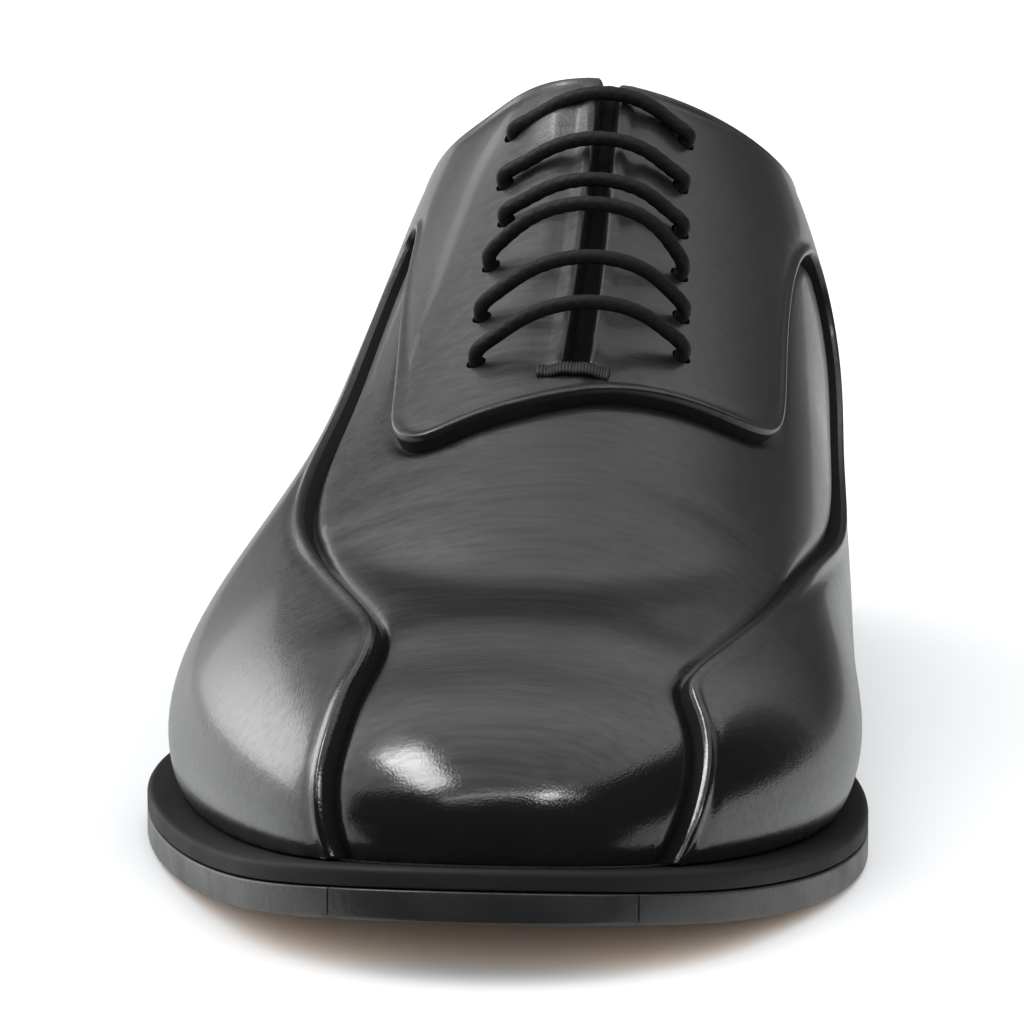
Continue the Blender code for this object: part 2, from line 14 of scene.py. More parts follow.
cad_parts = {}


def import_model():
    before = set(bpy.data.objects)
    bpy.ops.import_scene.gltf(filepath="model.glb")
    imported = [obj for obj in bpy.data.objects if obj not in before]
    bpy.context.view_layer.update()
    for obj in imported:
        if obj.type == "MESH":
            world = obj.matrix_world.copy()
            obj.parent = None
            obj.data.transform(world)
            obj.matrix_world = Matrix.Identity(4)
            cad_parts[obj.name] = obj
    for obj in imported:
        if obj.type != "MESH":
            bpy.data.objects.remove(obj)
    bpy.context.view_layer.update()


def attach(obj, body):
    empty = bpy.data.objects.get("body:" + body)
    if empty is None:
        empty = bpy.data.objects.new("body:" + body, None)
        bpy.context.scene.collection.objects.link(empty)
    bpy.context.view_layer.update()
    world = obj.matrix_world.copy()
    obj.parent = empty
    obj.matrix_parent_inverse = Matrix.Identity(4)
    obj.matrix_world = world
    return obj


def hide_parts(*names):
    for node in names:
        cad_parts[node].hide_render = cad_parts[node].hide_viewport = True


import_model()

# Insole
# The board under the foot: natural vegetable-tanned leather, cut to the edge of the last's bottom.
# Upper and welt are sewn round it. Only its top shows, through the collar.
LAST_LENGTH = 0.2855
ORIGIN_ACROSS, ORIGIN_ALONG = 0.00108, 0.14525
SEAM = 0.0003
OUTSOLE, WELT, INSOLE_RISE = 0.0044, 0.0026, 0.0010
HEEL_HEIGHT, TOE_SPRING = 0.0180, 0.0085
ARCH_FROM, ARCH_TO = 0.040, 0.180
SPRING_FROM, SPRING_TO = 0.212, 0.297
TOE_SWING, SWING_FROM = 0.0050, 0.150
INSOLE_INSET, INSOLE_CORNER, INSOLE_CORNER_HEIGHT = 0.0007, 0.0008, 0.0004
INSOLE_STEP, INSOLE_MESH = 0.0020, 0.0040

# Edge of the last's bottom: along, lateral half width, medial half width
FEATHER = (
    (0.0000, 0.0000, 0.0000),
    (0.0060, 0.0152, 0.0152),
    (0.0200, 0.0245, 0.0245),
    (0.0500, 0.0303, 0.0297),
    (0.0800, 0.0330, 0.0286),
    (0.1150, 0.0368, 0.0284),
    (0.1500, 0.0424, 0.0342),
    (0.1780, 0.0462, 0.0398),
    (0.2000, 0.0457, 0.0425),
    (0.2200, 0.0418, 0.0422),
    (0.2430, 0.0347, 0.0371),
    (0.2620, 0.0271, 0.0290),
    (0.2750, 0.0197, 0.0206),
    (0.2825, 0.0109, 0.0112),
    (0.2855, 0.0000, 0.0000),
)


def spline(knots, values):
    """Natural cubic spline through the knots, as a function of an array."""
    knots, values = np.asarray(knots, float), np.asarray(values, float)
    step = np.diff(knots)
    slope = np.diff(values) / step
    system = np.eye(len(knots))
    right = np.zeros(len(knots))
    for i in range(1, len(knots) - 1):
        system[i, i - 1:i + 2] = step[i - 1], 2 * (step[i - 1] + step[i]), step[i]
        right[i] = 6 * (slope[i] - slope[i - 1])
    bend = np.linalg.solve(system, right)

    def value(at):
        at = np.clip(at, knots[0], knots[-1])
        i = np.clip(np.searchsorted(knots, at) - 1, 0, len(step) - 1)
        t = at - knots[i]
        start = slope[i] - step[i] * (2 * bend[i] + bend[i + 1]) / 6
        return values[i] + t * start + t**2 * bend[i] / 2 + t**3 * (bend[i + 1] - bend[i]) / (6 * step[i])

    return value


def turn_of(along):
    """Angle that runs evenly round toe and heel: 0 at the toe's tip, pi at the back of the heel."""
    return np.arccos(np.clip(2 * np.asarray(along) / LAST_LENGTH - 1, -1, 1))


feather_turns = turn_of([row[0] for row in FEATHER])[::-1]
half_width = {
    -1: spline(feather_turns, [row[1] for row in FEATHER[::-1]]),
    1: spline(feather_turns, [row[2] for row in FEATHER[::-1]]),
}


def foot(side, turn):
    """Point (across, along) on the edge of the last's bottom and its outward direction in plan."""
    small = 1e-4

    def point(at):
        return np.stack([side * half_width[side](at), LAST_LENGTH * (1 + np.cos(at)) / 2], axis=-1)

    run = point(np.minimum(turn + small, np.pi)) - point(np.maximum(turn - small, 0))
    out = side * np.stack([-run[..., 1], run[..., 0]], axis=-1)
    return point(turn), out / np.linalg.norm(out, axis=-1, keepdims=True)


def underside(along):
    """Height of the outsole's lower face."""
    arch = np.clip((ARCH_TO - along) / (ARCH_TO - ARCH_FROM), 0, 1)
    spring = np.clip((along - SPRING_FROM) / (SPRING_TO - SPRING_FROM), 0, 1.2)
    return HEEL_HEIGHT * arch**2 * (3 - 2 * arch) + TOE_SPRING * spring**2


def feather_height(along):
    """Height of the foot of the upper."""
    return underside(along) + OUTSOLE + WELT + 2 * SEAM


def world(places):
    """Frame points of (across, along, height) places, with the toe bent towards the medial side."""
    reach = np.maximum(places[:, 1] - SWING_FROM, 0) / (LAST_LENGTH - SWING_FROM)
    across = places[:, 0] + TOE_SWING * reach**2 + ORIGIN_ACROSS
    return np.column_stack([across, ORIGIN_ALONG - places[:, 1], places[:, 2]])


def lengths(points):
    """Length of a line up to each of its points."""
    return np.concatenate([[0], np.cumsum(np.linalg.norm(np.diff(points, axis=0), axis=1))])


def resample(points, step):
    """Even points along a line, both ends kept."""
    points = np.asarray(points, float)
    length = lengths(points)
    count = max(2, int(round(length[-1] / step)) + 1)
    at = np.linspace(0, length[-1], count)
    return np.column_stack([np.interp(at, length, points[:, k]) for k in range(points.shape[1])])


turn_steps = np.linspace(0, np.pi, 2001)


def outline(margin, step):
    """Closed plan outline at a margin outside the last's bottom; the margin depends on side and along."""
    halves = []
    for side in (-1, 1):
        base, out = foot(side, turn_steps)
        halves.append(base + out * margin(side, base[:, 1])[:, None])
    return resample(np.concatenate([halves[0], halves[1][::-1]]), step)[:-1]


def inset(distance):
    return lambda side, along: np.full_like(along, -distance)


def nearest(points, line):
    """Distance from each point to the nearest point of a line."""
    tree = KDTree(len(line))
    for k, point in enumerate(line):
        tree.insert((*point, 0)[:3], k)
    tree.balance()
    return np.array([tree.find((*point, 0)[:3])[2] for point in points])


def inside(points, loops):
    """Which points lie inside an odd number of closed loops."""
    odd = np.zeros(len(points), bool)
    for loop in loops:
        for (x0, y0), (x1, y1) in zip(loop, np.roll(loop, -1, axis=0)):
            spans = (y0 > points[:, 1]) != (y1 > points[:, 1])
            odd ^= spans & (points[:, 0] < (x1 - x0) * (points[:, 1] - y0) / (y1 - y0 + 1e-30) + x0)
    return odd


def fill(loops, spots, lines=()):
    """Points and triangles of the region inside closed loops, with spots and open lines in it.

    Also gives the number of each loop's points, in the order of the loop.
    """
    points, edges = list(spots), []
    for line in lines:
        edges += [(len(points) + k, len(points) + k + 1) for k in range(len(line) - 1)]
        points += list(line)
    borders = []
    for loop in loops:
        borders.append(len(points) + np.arange(len(loop)))
        edges += list(zip(borders[-1], np.roll(borders[-1], -1)))
        points += list(loop)
    edges = [(int(a), int(b)) for a, b in edges]
    found = delaunay_2d_cdt([tuple(point * 1000) for point in points], edges, [], 0, 1e-6)
    corners = np.array([tuple(corner) for corner in found[0]]) / 1000
    triangles = np.array([list(face) for face in found[2]])
    number = {old: new for new, olds in enumerate(found[3]) for old in olds}
    borders = [np.array([number[k] for k in border]) for border in borders]
    return corners, triangles[inside(corners[triangles].mean(axis=1), loops)], borders


def grid_in(loops, spacing, clear_of=()):
    """Grid points inside closed loops, clear of the loops and of other points."""
    low = np.min([loop.min(axis=0) for loop in loops], axis=0)
    high = np.max([loop.max(axis=0) for loop in loops], axis=0)
    axes = [np.arange(low[k] + spacing / 2, high[k], spacing) for k in (0, 1)]
    grid = np.array(np.meshgrid(*axes)).reshape(2, -1).T
    grid = grid[inside(grid, loops)]
    return grid[nearest(grid, np.concatenate([*loops, *clear_of])) > 0.55 * spacing]


def linked(name, data):
    """New object in the scene."""
    made = bpy.data.objects.new(name, data)
    bpy.context.collection.objects.link(made)
    return made


def add_piece(name, points, faces, materials, face_slots=None, sharp=np.radians(50)):
    """Mesh object with outward faces, smooth apart from edges sharper than an angle."""
    mesh = bpy.data.meshes.new(name)
    mesh.from_pydata([tuple(point) for point in points], [], [tuple(int(k) for k in face) for face in faces])
    for material in materials:
        mesh.materials.append(material)
    if face_slots is not None:
        mesh.polygons.foreach_set("material_index", np.asarray(face_slots, np.int32))
    shell = bmesh.new()
    shell.from_mesh(mesh)
    bmesh.ops.recalc_face_normals(shell, faces=shell.faces)
    shell.to_mesh(mesh)
    shell.free()
    mesh.shade_smooth()
    mesh.set_sharp_from_angle(angle=sharp)
    piece = linked(name, mesh)
    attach(piece, "root")
    return piece


def block(name, loops, spacing, levels, materials, zone=None, lines=()):
    """Closed body over a plan.

    Levels run upwards: inset of the border, then a function from plan points to places.
    The first material is the sides', the second the lower face's and the third the upper face's;
    zone picks the material of a part of the lower face.
    """
    spots = grid_in(loops, spacing, lines)
    plan, triangles, borders = fill(loops, spots, lines)
    moves = []
    for loop in loops:
        run = np.roll(loop, -1, axis=0) - np.roll(loop, 1, axis=0)
        left = np.column_stack([-run[:, 1], run[:, 0]]) / np.linalg.norm(run, axis=1, keepdims=True)
        moves.append(left if inside(loop[:1] + 1e-5 * left[:1], loops)[0] else -left)
    places = []
    for level, (draw, place) in enumerate(levels):
        if level in (0, len(levels) - 1):
            moved = plan.copy()
            for border, move in zip(borders, moves):
                moved[border] += draw * move
        else:
            moved = np.concatenate([plan[border] + draw * move for border, move in zip(borders, moves)])
        places.append(place(moved))
    starts = np.concatenate([[0], np.cumsum([len(part) for part in places])])
    faces = [tuple(face) for face in triangles] + [tuple(face[::-1] + starts[-2]) for face in triangles]
    slots = [1 if zone is None else zone(centre) for centre in plan[triangles].mean(axis=1)]
    slots += [2] * len(triangles)
    counts = np.concatenate([[0], np.cumsum([len(border) for border in borders])])
    for level in range(len(levels) - 1):
        for number, border in enumerate(borders):
            ends = []
            for k in (level, level + 1):
                whole = k in (0, len(levels) - 1)
                ends.append(starts[k] + (border if whole else counts[number] + np.arange(len(border))))
            low, high = ends
            faces += list(zip(low, np.roll(low, -1), np.roll(high, -1), high))
    slots += [0] * (len(faces) - len(slots))
    return add_piece(name, world(np.concatenate(places)), faces, materials, slots)


def at_height(height):
    return lambda plan: np.column_stack([plan, height(plan[:, 1])])


def node(tree, kind, inputs=None, **settings):
    """Adds a node; an input is a fixed value or the output that feeds it."""
    made = tree.nodes.new(kind)
    for setting, value in settings.items():
        setattr(made, setting, value)
    for name, value in (inputs or {}).items():
        if isinstance(value, bpy.types.NodeSocket):
            tree.links.new(value, made.inputs[name])
        else:
            made.inputs[name].default_value = value
    return made


def ranged(tree, value, across, onto, **settings):
    """Output of a node that maps one range of a value on to another."""
    inputs = {"Value": value}
    inputs |= {"From Min": across[0], "From Max": across[1], "To Min": onto[0], "To Max": onto[1]}
    return node(tree, "ShaderNodeMapRange", inputs, **settings).outputs[0]


def blank_material(name):
    """Material with a bare surface shader, and its tree and shader."""
    material = bpy.data.materials.new(name)
    material.use_nodes = True
    tree = material.node_tree
    return material, tree, tree.nodes["Principled BSDF"]


def feed(tree, shader, **sockets):
    """Sets or feeds inputs of a shader; words in a name are joined by underscores."""
    for name, value in sockets.items():
        socket = shader.inputs[name.replace("_", " ")]
        if isinstance(value, bpy.types.NodeSocket):
            tree.links.new(value, socket)
        else:
            socket.default_value = value


def grain_group():
    """Node group of leather grain: fine cells broken by soft noise, with pores, as a height and a mottle."""
    tree = bpy.data.node_groups.new("leather grain", "ShaderNodeTree")
    tree.interface.new_socket("Cells", in_out="INPUT", socket_type="NodeSocketFloat")
    tree.interface.new_socket("Mottle Size", in_out="INPUT", socket_type="NodeSocketFloat")
    for name in ("Height", "Mottle"):
        tree.interface.new_socket(name, in_out="OUTPUT", socket_type="NodeSocketFloat")
    given = tree.nodes.new("NodeGroupInput")
    result = tree.nodes.new("NodeGroupOutput")
    place = node(tree, "ShaderNodeTexCoord").outputs["Object"]
    drift = node(tree, "ShaderNodeTexNoise", {"Vector": place, "Scale": 700.0, "Detail": 2.0})
    drifts = {0: drift.outputs["Color"], "Scale": 0.0004}
    shaken = node(tree, "ShaderNodeVectorMath", drifts, operation="SCALE")
    moved = node(tree, "ShaderNodeVectorMath", {0: place, 1: shaken.outputs[0]}, operation="ADD")
    cells = node(tree, "ShaderNodeTexVoronoi", {"Vector": moved.outputs[0], "Scale": given.outputs["Cells"]})
    fine = node(tree, "ShaderNodeTexNoise", {"Vector": place, "Scale": 5200.0, "Detail": 2.0})
    heights = {0: cells.outputs["Distance"], 1: fine.outputs["Fac"]}
    both = node(tree, "ShaderNodeMath", heights, operation="ADD")
    size = given.outputs["Mottle Size"]
    mottle = node(tree, "ShaderNodeTexNoise", {"Vector": place, "Scale": size, "Detail": 4.0})
    tree.links.new(both.outputs[0], result.inputs["Height"])
    tree.links.new(mottle.outputs["Fac"], result.inputs["Mottle"])
    return tree


leather_grain = grain_group()
# Range that a soft noise mostly keeps to
NOISE_RANGE = (0.3, 0.7)


def grained_material(name, dark, light, rough, cells, mottle, bump, specular=0.5, metal=0.0):
    """Finish with two mottled colours, a range of roughness and bumped grain, for leather and the like."""
    material, tree, shader = blank_material(name)
    grain = node(tree, "ShaderNodeGroup", {"Cells": cells, "Mottle Size": mottle}, node_tree=leather_grain)
    mix = {"Factor": grain.outputs["Mottle"], 6: (*dark, 1), 7: (*light, 1)}
    colour = node(tree, "ShaderNodeMix", mix, data_type="RGBA")
    roughness = ranged(tree, grain.outputs["Mottle"], NOISE_RANGE, rough)
    heights = {"Height": grain.outputs["Height"], "Strength": 0.5, "Distance": bump}
    relief = node(tree, "ShaderNodeBump", heights)
    feed(tree, shader, Base_Color=colour.outputs[2], Roughness=roughness, Normal=relief.outputs[0],
         Specular_IOR_Level=specular, Metallic=metal)
    return material


lining = grained_material("lining_leather", (0.33, 0.22, 0.13), (0.50, 0.36, 0.23), (0.50, 0.68),
                          cells=1500.0, mottle=60.0, bump=0.00008)
insole_loop = outline(inset(INSOLE_INSET), INSOLE_STEP)
insole = block("insole_board", [insole_loop], INSOLE_MESH, (
    (0, at_height(lambda a: underside(a) + OUTSOLE + SEAM)),
    (0, at_height(lambda a: feather_height(a) + INSOLE_RISE - INSOLE_CORNER_HEIGHT)),
    (INSOLE_CORNER, at_height(lambda a: feather_height(a) + INSOLE_RISE)),
), [lining] * 3)
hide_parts("insole")

# Upper
# Vamp, counters and lining pulled over the last as one wall: burnished black calf outside, natural calf
# inside. It dips along the edge of the quarters and behind the toe box, and creases a little across the ball.
WALL = 0.0018
GIRTH = 0.100
TOE_ROUND, HEEL_ROUND = 0.028, 0.026
THROAT_TOP, THROAT_FOOT, THROAT_HALF, THROAT_NARROW = 0.126, 0.183, 0.016, 0.006

# Ridge of the last: along, height, offset towards the medial side
RIDGE = (
    (0.020, 0.1080, 0.0000),
    (0.060, 0.1130, 0.0030),
    (0.090, 0.1135, 0.0055),
    (0.112, 0.1070, 0.0068),
    (0.126, 0.0995, 0.0070),
    (0.145, 0.0870, 0.0072),
    (0.165, 0.0742, 0.0074),
    (0.185, 0.0625, 0.0070),
    (0.205, 0.0530, 0.0060),
    (0.225, 0.0453, 0.0045),
    (0.243, 0.0395, 0.0030),
    (0.260, 0.0345, 0.0010),
)

# Roundness of a cross-section: along, flare of the lateral and of the medial side, height of the lateral
# and of the medial wall, crown
SECTION = (
    (0.000, 0.0120, 0.0120, 0.030, 0.0300, 0.42),
    (0.050, 0.0135, 0.0085, 0.030, 0.0300, 0.40),
    (0.090, 0.0085, 0.0255, 0.030, 0.0350, 0.40),
    (0.125, 0.0038, 0.0285, 0.028, 0.0320, 0.45),
    (0.160, 0.0026, 0.0212, 0.024, 0.0245, 0.50),
    (0.190, 0.0082, 0.0138, 0.021, 0.0205, 0.55),
    (0.225, 0.0105, 0.0140, 0.018, 0.0180, 0.58),
    (0.260, 0.0050, 0.0055, 0.015, 0.0150, 0.60),
    (0.2855, 0.0020, 0.0020, 0.012, 0.0120, 0.62),
)

# Collar edge: along, lateral height, medial height
TOPLINE = (
    (0.000, 0.0830, 0.0830),
    (0.020, 0.0788, 0.0785),
    (0.042, 0.0748, 0.0745),
    (0.062, 0.0756, 0.0758),
    (0.085, 0.0832, 0.0816),
    (0.105, 0.0898, 0.0892),
    (0.118, 0.0950, 0.0954),
    (0.126, 0.0995, 0.0995),
)

# Edge of the quarters from the toe up to the notch, then round the facing to the ridge.
# Along, share of the girth up from the bottom edge.
WING_LATERAL = (
    (0.2772, 0.000),
    (0.2741, 0.225),
    (0.2692, 0.410),
    (0.2640, 0.505),
    (0.2570, 0.598),
    (0.2488, 0.650),
    (0.2356, 0.629),
    (0.2200, 0.575),
    (0.2010, 0.526),
    (0.1820, 0.517),
    (0.1640, 0.512),
    (0.1480, 0.504),
    (0.1350, 0.500),
    (0.1240, 0.508),
    (0.1145, 0.535),
    (0.1115, 0.570),
    (0.1160, 0.603),
    (0.1330, 0.632),
    (0.1562, 0.660),
    (0.1790, 0.681),
    (0.1885, 0.696),
    (0.1930, 0.738),
    (0.1927, 0.825),
    (0.1914, 0.910),
    (0.1896, 1.000),
)
WING_MEDIAL = (
    (0.2728, 0.000),
    (0.2677, 0.195),
    (0.2633, 0.298),
    (0.2581, 0.418),
    (0.2531, 0.504),
    (0.2432, 0.521),
    (0.2286, 0.506),
    (0.2118, 0.477),
    (0.1900, 0.432),
    (0.1720, 0.385),
    (0.1560, 0.347),
    (0.1410, 0.326),
    (0.1280, 0.319),
    (0.1160, 0.322),
    (0.1060, 0.335),
    (0.0988, 0.366),
    (0.0948, 0.415),
    (0.0940, 0.465),
    (0.0968, 0.510),
    (0.1045, 0.548),
    (0.1160, 0.583),
    (0.1300, 0.602),
    (0.1480, 0.596),
    (0.1600, 0.583),
    (0.1672, 0.590),
    (0.1722, 0.622),
    (0.1775, 0.690),
    (0.1815, 0.770),
    (0.1858, 0.880),
    (0.1896, 1.000),
)

# Eyelets and the lace bars between them, lowest first. Lateral side: along, share of the girth from the
# ridge. Medial side: the same two. Rise of the bar over the facing at its middle.
EYELETS = (
    (0.1790, 0.164, 0.1734, 0.173, 0.0044),
    (0.1686, 0.162, 0.1652, 0.157, 0.0046),
    (0.1574, 0.154, 0.1568, 0.140, 0.0056),
    (0.1486, 0.134, 0.1480, 0.129, 0.0018),
    (0.1398, 0.142, 0.1391, 0.118, 0.0010),
    (0.1304, 0.131, 0.1294, 0.116, 0.0004),
)
EYELET_RADIUS, EYELET_SIDES = 0.0014, 14


def columns(table):
    """One spline for each column of a table after its first."""
    knots, *rest = zip(*sorted(table))
    return [spline(knots, values) for values in rest]


ridge_height, ridge_offset = columns(RIDGE)
flare_lateral, flare_medial, wall_lateral, wall_medial, crown = columns(SECTION)
SIDE_COLUMNS = {-1: (flare_lateral, wall_lateral), 1: (flare_medial, wall_medial)}
collar = dict(zip((-1, 1), columns(TOPLINE)))


def controls(side, along):
    """Bezier points of the cross-sections of one side, from the bottom edge up to the ridge."""
    base, out = foot(side, turn_of(along))
    from_toe = (np.maximum(LAST_LENGTH - along, 0)**3 + TOE_ROUND**3)**(1 / 3)
    top_along = (np.maximum(LAST_LENGTH - from_toe, 0)**3 + HEEL_ROUND**3)**(1 / 3)
    rise = (ridge_height(top_along + 1e-5) - ridge_height(top_along - 1e-5)) / 2e-5
    flare, rise_of_wall = (column(along) for column in SIDE_COLUMNS[side])
    low = np.column_stack([base, feather_height(along)])
    wall = low + np.column_stack([out * flare[:, None], rise_of_wall])
    top = np.column_stack([ridge_offset(top_along), top_along, ridge_height(top_along)])
    inward = top[:, :2] - base
    shoulder = top - crown(along)[:, None] * np.column_stack([inward, inward[:, 1] * rise])
    return np.stack([low, wall, shoulder, top], axis=1)


def bernstein(t):
    return np.stack([(1 - t)**3, 3 * t * (1 - t)**2, 3 * t**2 * (1 - t), t**3], axis=-1)


def on_last(along, around):
    """Places on the last; around runs from -1 at the lateral bottom edge over the ridge at 0 to +1."""
    points = np.empty((len(along), 3))
    fine = np.linspace(0, 1, 41)
    for side in (-1, 1):
        pick = (around < 0) == (side < 0)
        if not pick.any():
            continue
        bezier = controls(side, along[pick])
        rows = np.einsum("tk,nkc->ntc", bernstein(fine), bezier)
        length = np.cumsum(np.linalg.norm(np.diff(rows, axis=1), axis=2), axis=1)
        length = np.column_stack([np.zeros(len(length)), length])
        goal = (1 - np.abs(around[pick])) * length[:, -1]
        at = np.array([np.interp(g, row, fine) for g, row in zip(goal, length)])
        points[pick] = np.einsum("nk,nkc->nc", bernstein(at), bezier)
    return points


# The flat pattern: distance round the bottom edge from the toe's tip, and the girth on each side of the ridge
round_steps = np.mean([lengths(foot(side, turn_steps)[0]) for side in (-1, 1)], axis=0)
HEEL_SEAM = round_steps[-1]


def flat(side, along, share):
    """Flat point of a place given by its along and its share of the girth up from the bottom edge."""
    along, share = np.broadcast_arrays(np.asarray(along, float), np.asarray(share, float))
    return np.column_stack([np.interp(turn_of(along), turn_steps, round_steps), side * (1 - share) * GIRTH])


def laid(points):
    """Places on the last of flat points."""
    turn = np.interp(points[:, 0], round_steps, turn_steps)
    return on_last(LAST_LENGTH * (1 + np.cos(turn)) / 2, points[:, 1] / GIRTH)


def smooth(points, step):
    """Even points along a spline through a few flat points."""
    points = np.asarray(points, float)
    length = lengths(points)
    fine = np.linspace(0, length[-1], 1200)
    return resample(np.column_stack([spline(length, points[:, k])(fine) for k in (0, 1)]), step)


def loop_of(*runs):
    """Closed loop from runs laid end to end; shared ends are kept once."""
    points = np.concatenate(runs)
    away = np.linalg.norm(points - np.roll(points, 1, axis=0), axis=1) > 1e-6
    return points[away]


def wing_run(side, step):
    """Front edge of the quarters from the bottom by the toe to the notch, then round the facing."""
    rows = WING_LATERAL if side < 0 else WING_MEDIAL
    return smooth([flat(side, *row)[0] for row in rows], step)


def collar_share(side, along):
    """Share of the girth where the collar cuts each cross-section."""
    shares = np.linspace(0, 1, 120)
    found = []
    for place, height in zip(along, collar[side](along)):
        heights = on_last(np.full(120, place), side * (1 - shares))[:, 2]
        found.append(np.interp(height, heights, shares))
    return np.array(found)


def collar_run(side, step):
    """Collar edge from the lace slit back to the heel seam."""
    along = THROAT_TOP * (1 - np.linspace(0, 1, 90)**2)
    share = np.minimum(collar_share(side, along), 1 - THROAT_NARROW)
    return resample(flat(side, along, share), step)


def throat_run(side, step):
    """Edge of the lace slit from its foot up to the collar, where it is narrower."""
    return resample(flat(side, [THROAT_FOOT, THROAT_TOP], [1 - THROAT_HALF, 1 - THROAT_NARROW]), step)


def bottom_run(side, front, back, step):
    return resample(np.array([[front, side * GIRTH], [back, side * GIRTH]]), step)


def slopes(points):
    """Change of the places on the last per flat length, along and round the girth."""
    small = 2e-5
    by_along = (laid(points + (small, 0)) - laid(points - (small, 0))) / (2 * small)
    by_girth = (laid(points + (0, small)) - laid(points - (0, small))) / (2 * small)
    return by_along, by_girth


def measures(points):
    """True lengths on the last per flat length: along, mixed and girth terms of the surface's metric."""
    by_along, by_girth = slopes(points)
    return (by_along**2).sum(axis=1), (by_along * by_girth).sum(axis=1), (by_girth**2).sum(axis=1)


def upright(points):
    """Outward directions of the last at flat points."""
    out = np.cross(*slopes(points))
    return out / np.linalg.norm(out, axis=1, keepdims=True)


def beside(run, distance):
    """Flat points at a true distance to the left of a flat line."""
    e, f, g = measures(run)
    way = np.gradient(run, axis=0)
    left = np.column_stack([-(f * way[:, 0] + g * way[:, 1]), e * way[:, 0] + f * way[:, 1]])
    size = np.sqrt(e * left[:, 0]**2 + 2 * f * left[:, 0] * left[:, 1] + g * left[:, 1]**2)
    return run + distance * left / size[:, None]


def round_hole(centre, radius, count):
    """Flat loop that becomes a true circle on the last."""
    e, f, g = (term[0] for term in measures(centre[None]))
    angle = np.arange(count) * 2 * np.pi / count
    up = np.array([-f / e, 1]) / np.sqrt(g - f * f / e)
    return centre + radius * (np.outer(np.cos(angle), [1 / np.sqrt(e), 0]) + np.outer(np.sin(angle), up))


eyelet_places = [(-1, *row[:2]) for row in EYELETS] + [(1, *row[2:4]) for row in EYELETS]
eyelet_centres = [flat(side, along, 1 - around)[0] for side, along, around in eyelet_places]
eyelet_loops = [round_hole(centre, EYELET_RADIUS, EYELET_SIDES) for centre in eyelet_centres]


def leather_grid(loops, spacing, lines):
    """Flat grid for a lasted piece, clear of its lines and thinned where the toe gathers it."""
    grid = grid_in(loops, spacing, lines)
    e, _, _ = measures(grid)
    crowd = np.clip(0.5 * spacing / (np.sqrt(e) * spacing + 1e-9), 1, 64)
    stride = 2 ** np.floor(np.log2(crowd)).astype(int)
    number = np.round(grid[:, 0] / spacing).astype(int)
    return grid[number % stride == 0]


def stretches(line, loops):
    """Parts of an open line that lie inside closed loops."""
    keep = inside(line, loops)
    parts = np.split(np.arange(len(line)), np.flatnonzero(np.diff(keep)) + 1)
    return [line[part] for part in parts if keep[part[0]] and len(part) > 1]


# Share of the girth over the bottom edge in which the wall turns to stand square on the welt
FOOT_BAND = 0.08


def lasted(points, triangles, depths):
    """The flat points laid over the last at each depth outside its surface."""
    base = laid(points)
    corner = base[triangles]
    face = np.cross(corner[:, 1] - corner[:, 0], corner[:, 2] - corner[:, 0])
    normal = np.zeros_like(base)
    for k in range(3):
        np.add.at(normal, triangles[:, k], face)
    above = np.clip((1 - np.abs(points[:, 1]) / GIRTH) / FOOT_BAND, 0, 1)
    normal[:, 2] *= above
    normal /= np.linalg.norm(normal, axis=1, keepdims=True)
    places = []
    for depth in depths:
        moved = base + np.broadcast_to(depth, len(base))[:, None] * normal
        moved[:, 2] += (1 - above) * (feather_height(moved[:, 1]) - feather_height(base[:, 1]))
        places.append(moved)
    return places


def sewn(points):
    """First of the flat points that meet at the toe's or heel's seam, and the new number of each point."""
    keys = np.round(points, 7)
    at_seam = (keys[:, 0] <= 1e-6) | (keys[:, 0] >= HEEL_SEAM - 1e-6)
    keys[at_seam, 1] = np.abs(keys[at_seam, 1])
    _, first, same = np.unique(keys, axis=0, return_index=True, return_inverse=True)
    return first, same.ravel()


def eased(places, triangles, weight, rounds):
    """Places drawn towards the middle of their neighbours, as far as their weight says, for some rounds."""
    pairs = np.concatenate([triangles[:, [0, 1]], triangles[:, [1, 2]], triangles[:, [2, 0]]])
    pairs = np.concatenate([pairs, pairs[:, ::-1]])
    count = np.maximum(np.bincount(pairs[:, 0], minlength=len(places)), 1)[:, None]
    for _ in range(rounds):
        middle = np.zeros_like(places)
        np.add.at(middle, pairs[:, 0], places[pairs[:, 1]])
        places = places + 0.5 * weight[:, None] * (middle / count - places)
    return places


def leather(name, loops, spacing, guides, inner, outer, materials, trim=None, ease=None):
    """Pattern piece lasted between two depths, each a function of flat points and their places on the last.

    Guides are flat lines that the mesh follows, so that it takes an edge's roll cleanly.
    The first material is the outer face's, the second the inner face's and the third the rim's; trim tells
    which places at the border count as rim, and ease how far each flat point's outer place is smoothed.
    """
    lines = [part for guide in guides for part in stretches(guide, loops)]
    points, triangles, _ = fill(loops, leather_grid(loops, spacing, lines), lines)
    first, same = sewn(points)
    points, triangles = points[first], same[triangles]
    base = laid(points)
    low, high = lasted(points, triangles, (inner(points, base), outer(points, base)))
    if ease is not None:
        high = eased(high, triangles, ease(points), EASE_ROUNDS)
    count = len(low)
    faces = [tuple(face + count) for face in triangles] + [tuple(face[::-1]) for face in triangles]
    runs = {(face[k], face[(k + 1) % 3]) for face in triangles for k in range(3)}
    faces += [(a, b, b + count, a + count) for a, b in runs if (b, a) not in runs]
    rim = np.zeros(count, bool) if trim is None else trim(base)
    slots = list(np.where(rim[triangles].all(axis=1), 2, 0)) + [1] * len(triangles)
    slots += [2] * (len(faces) - len(slots))
    return add_piece(name, world(np.concatenate([low, high])), faces, materials, slots, np.radians(75))


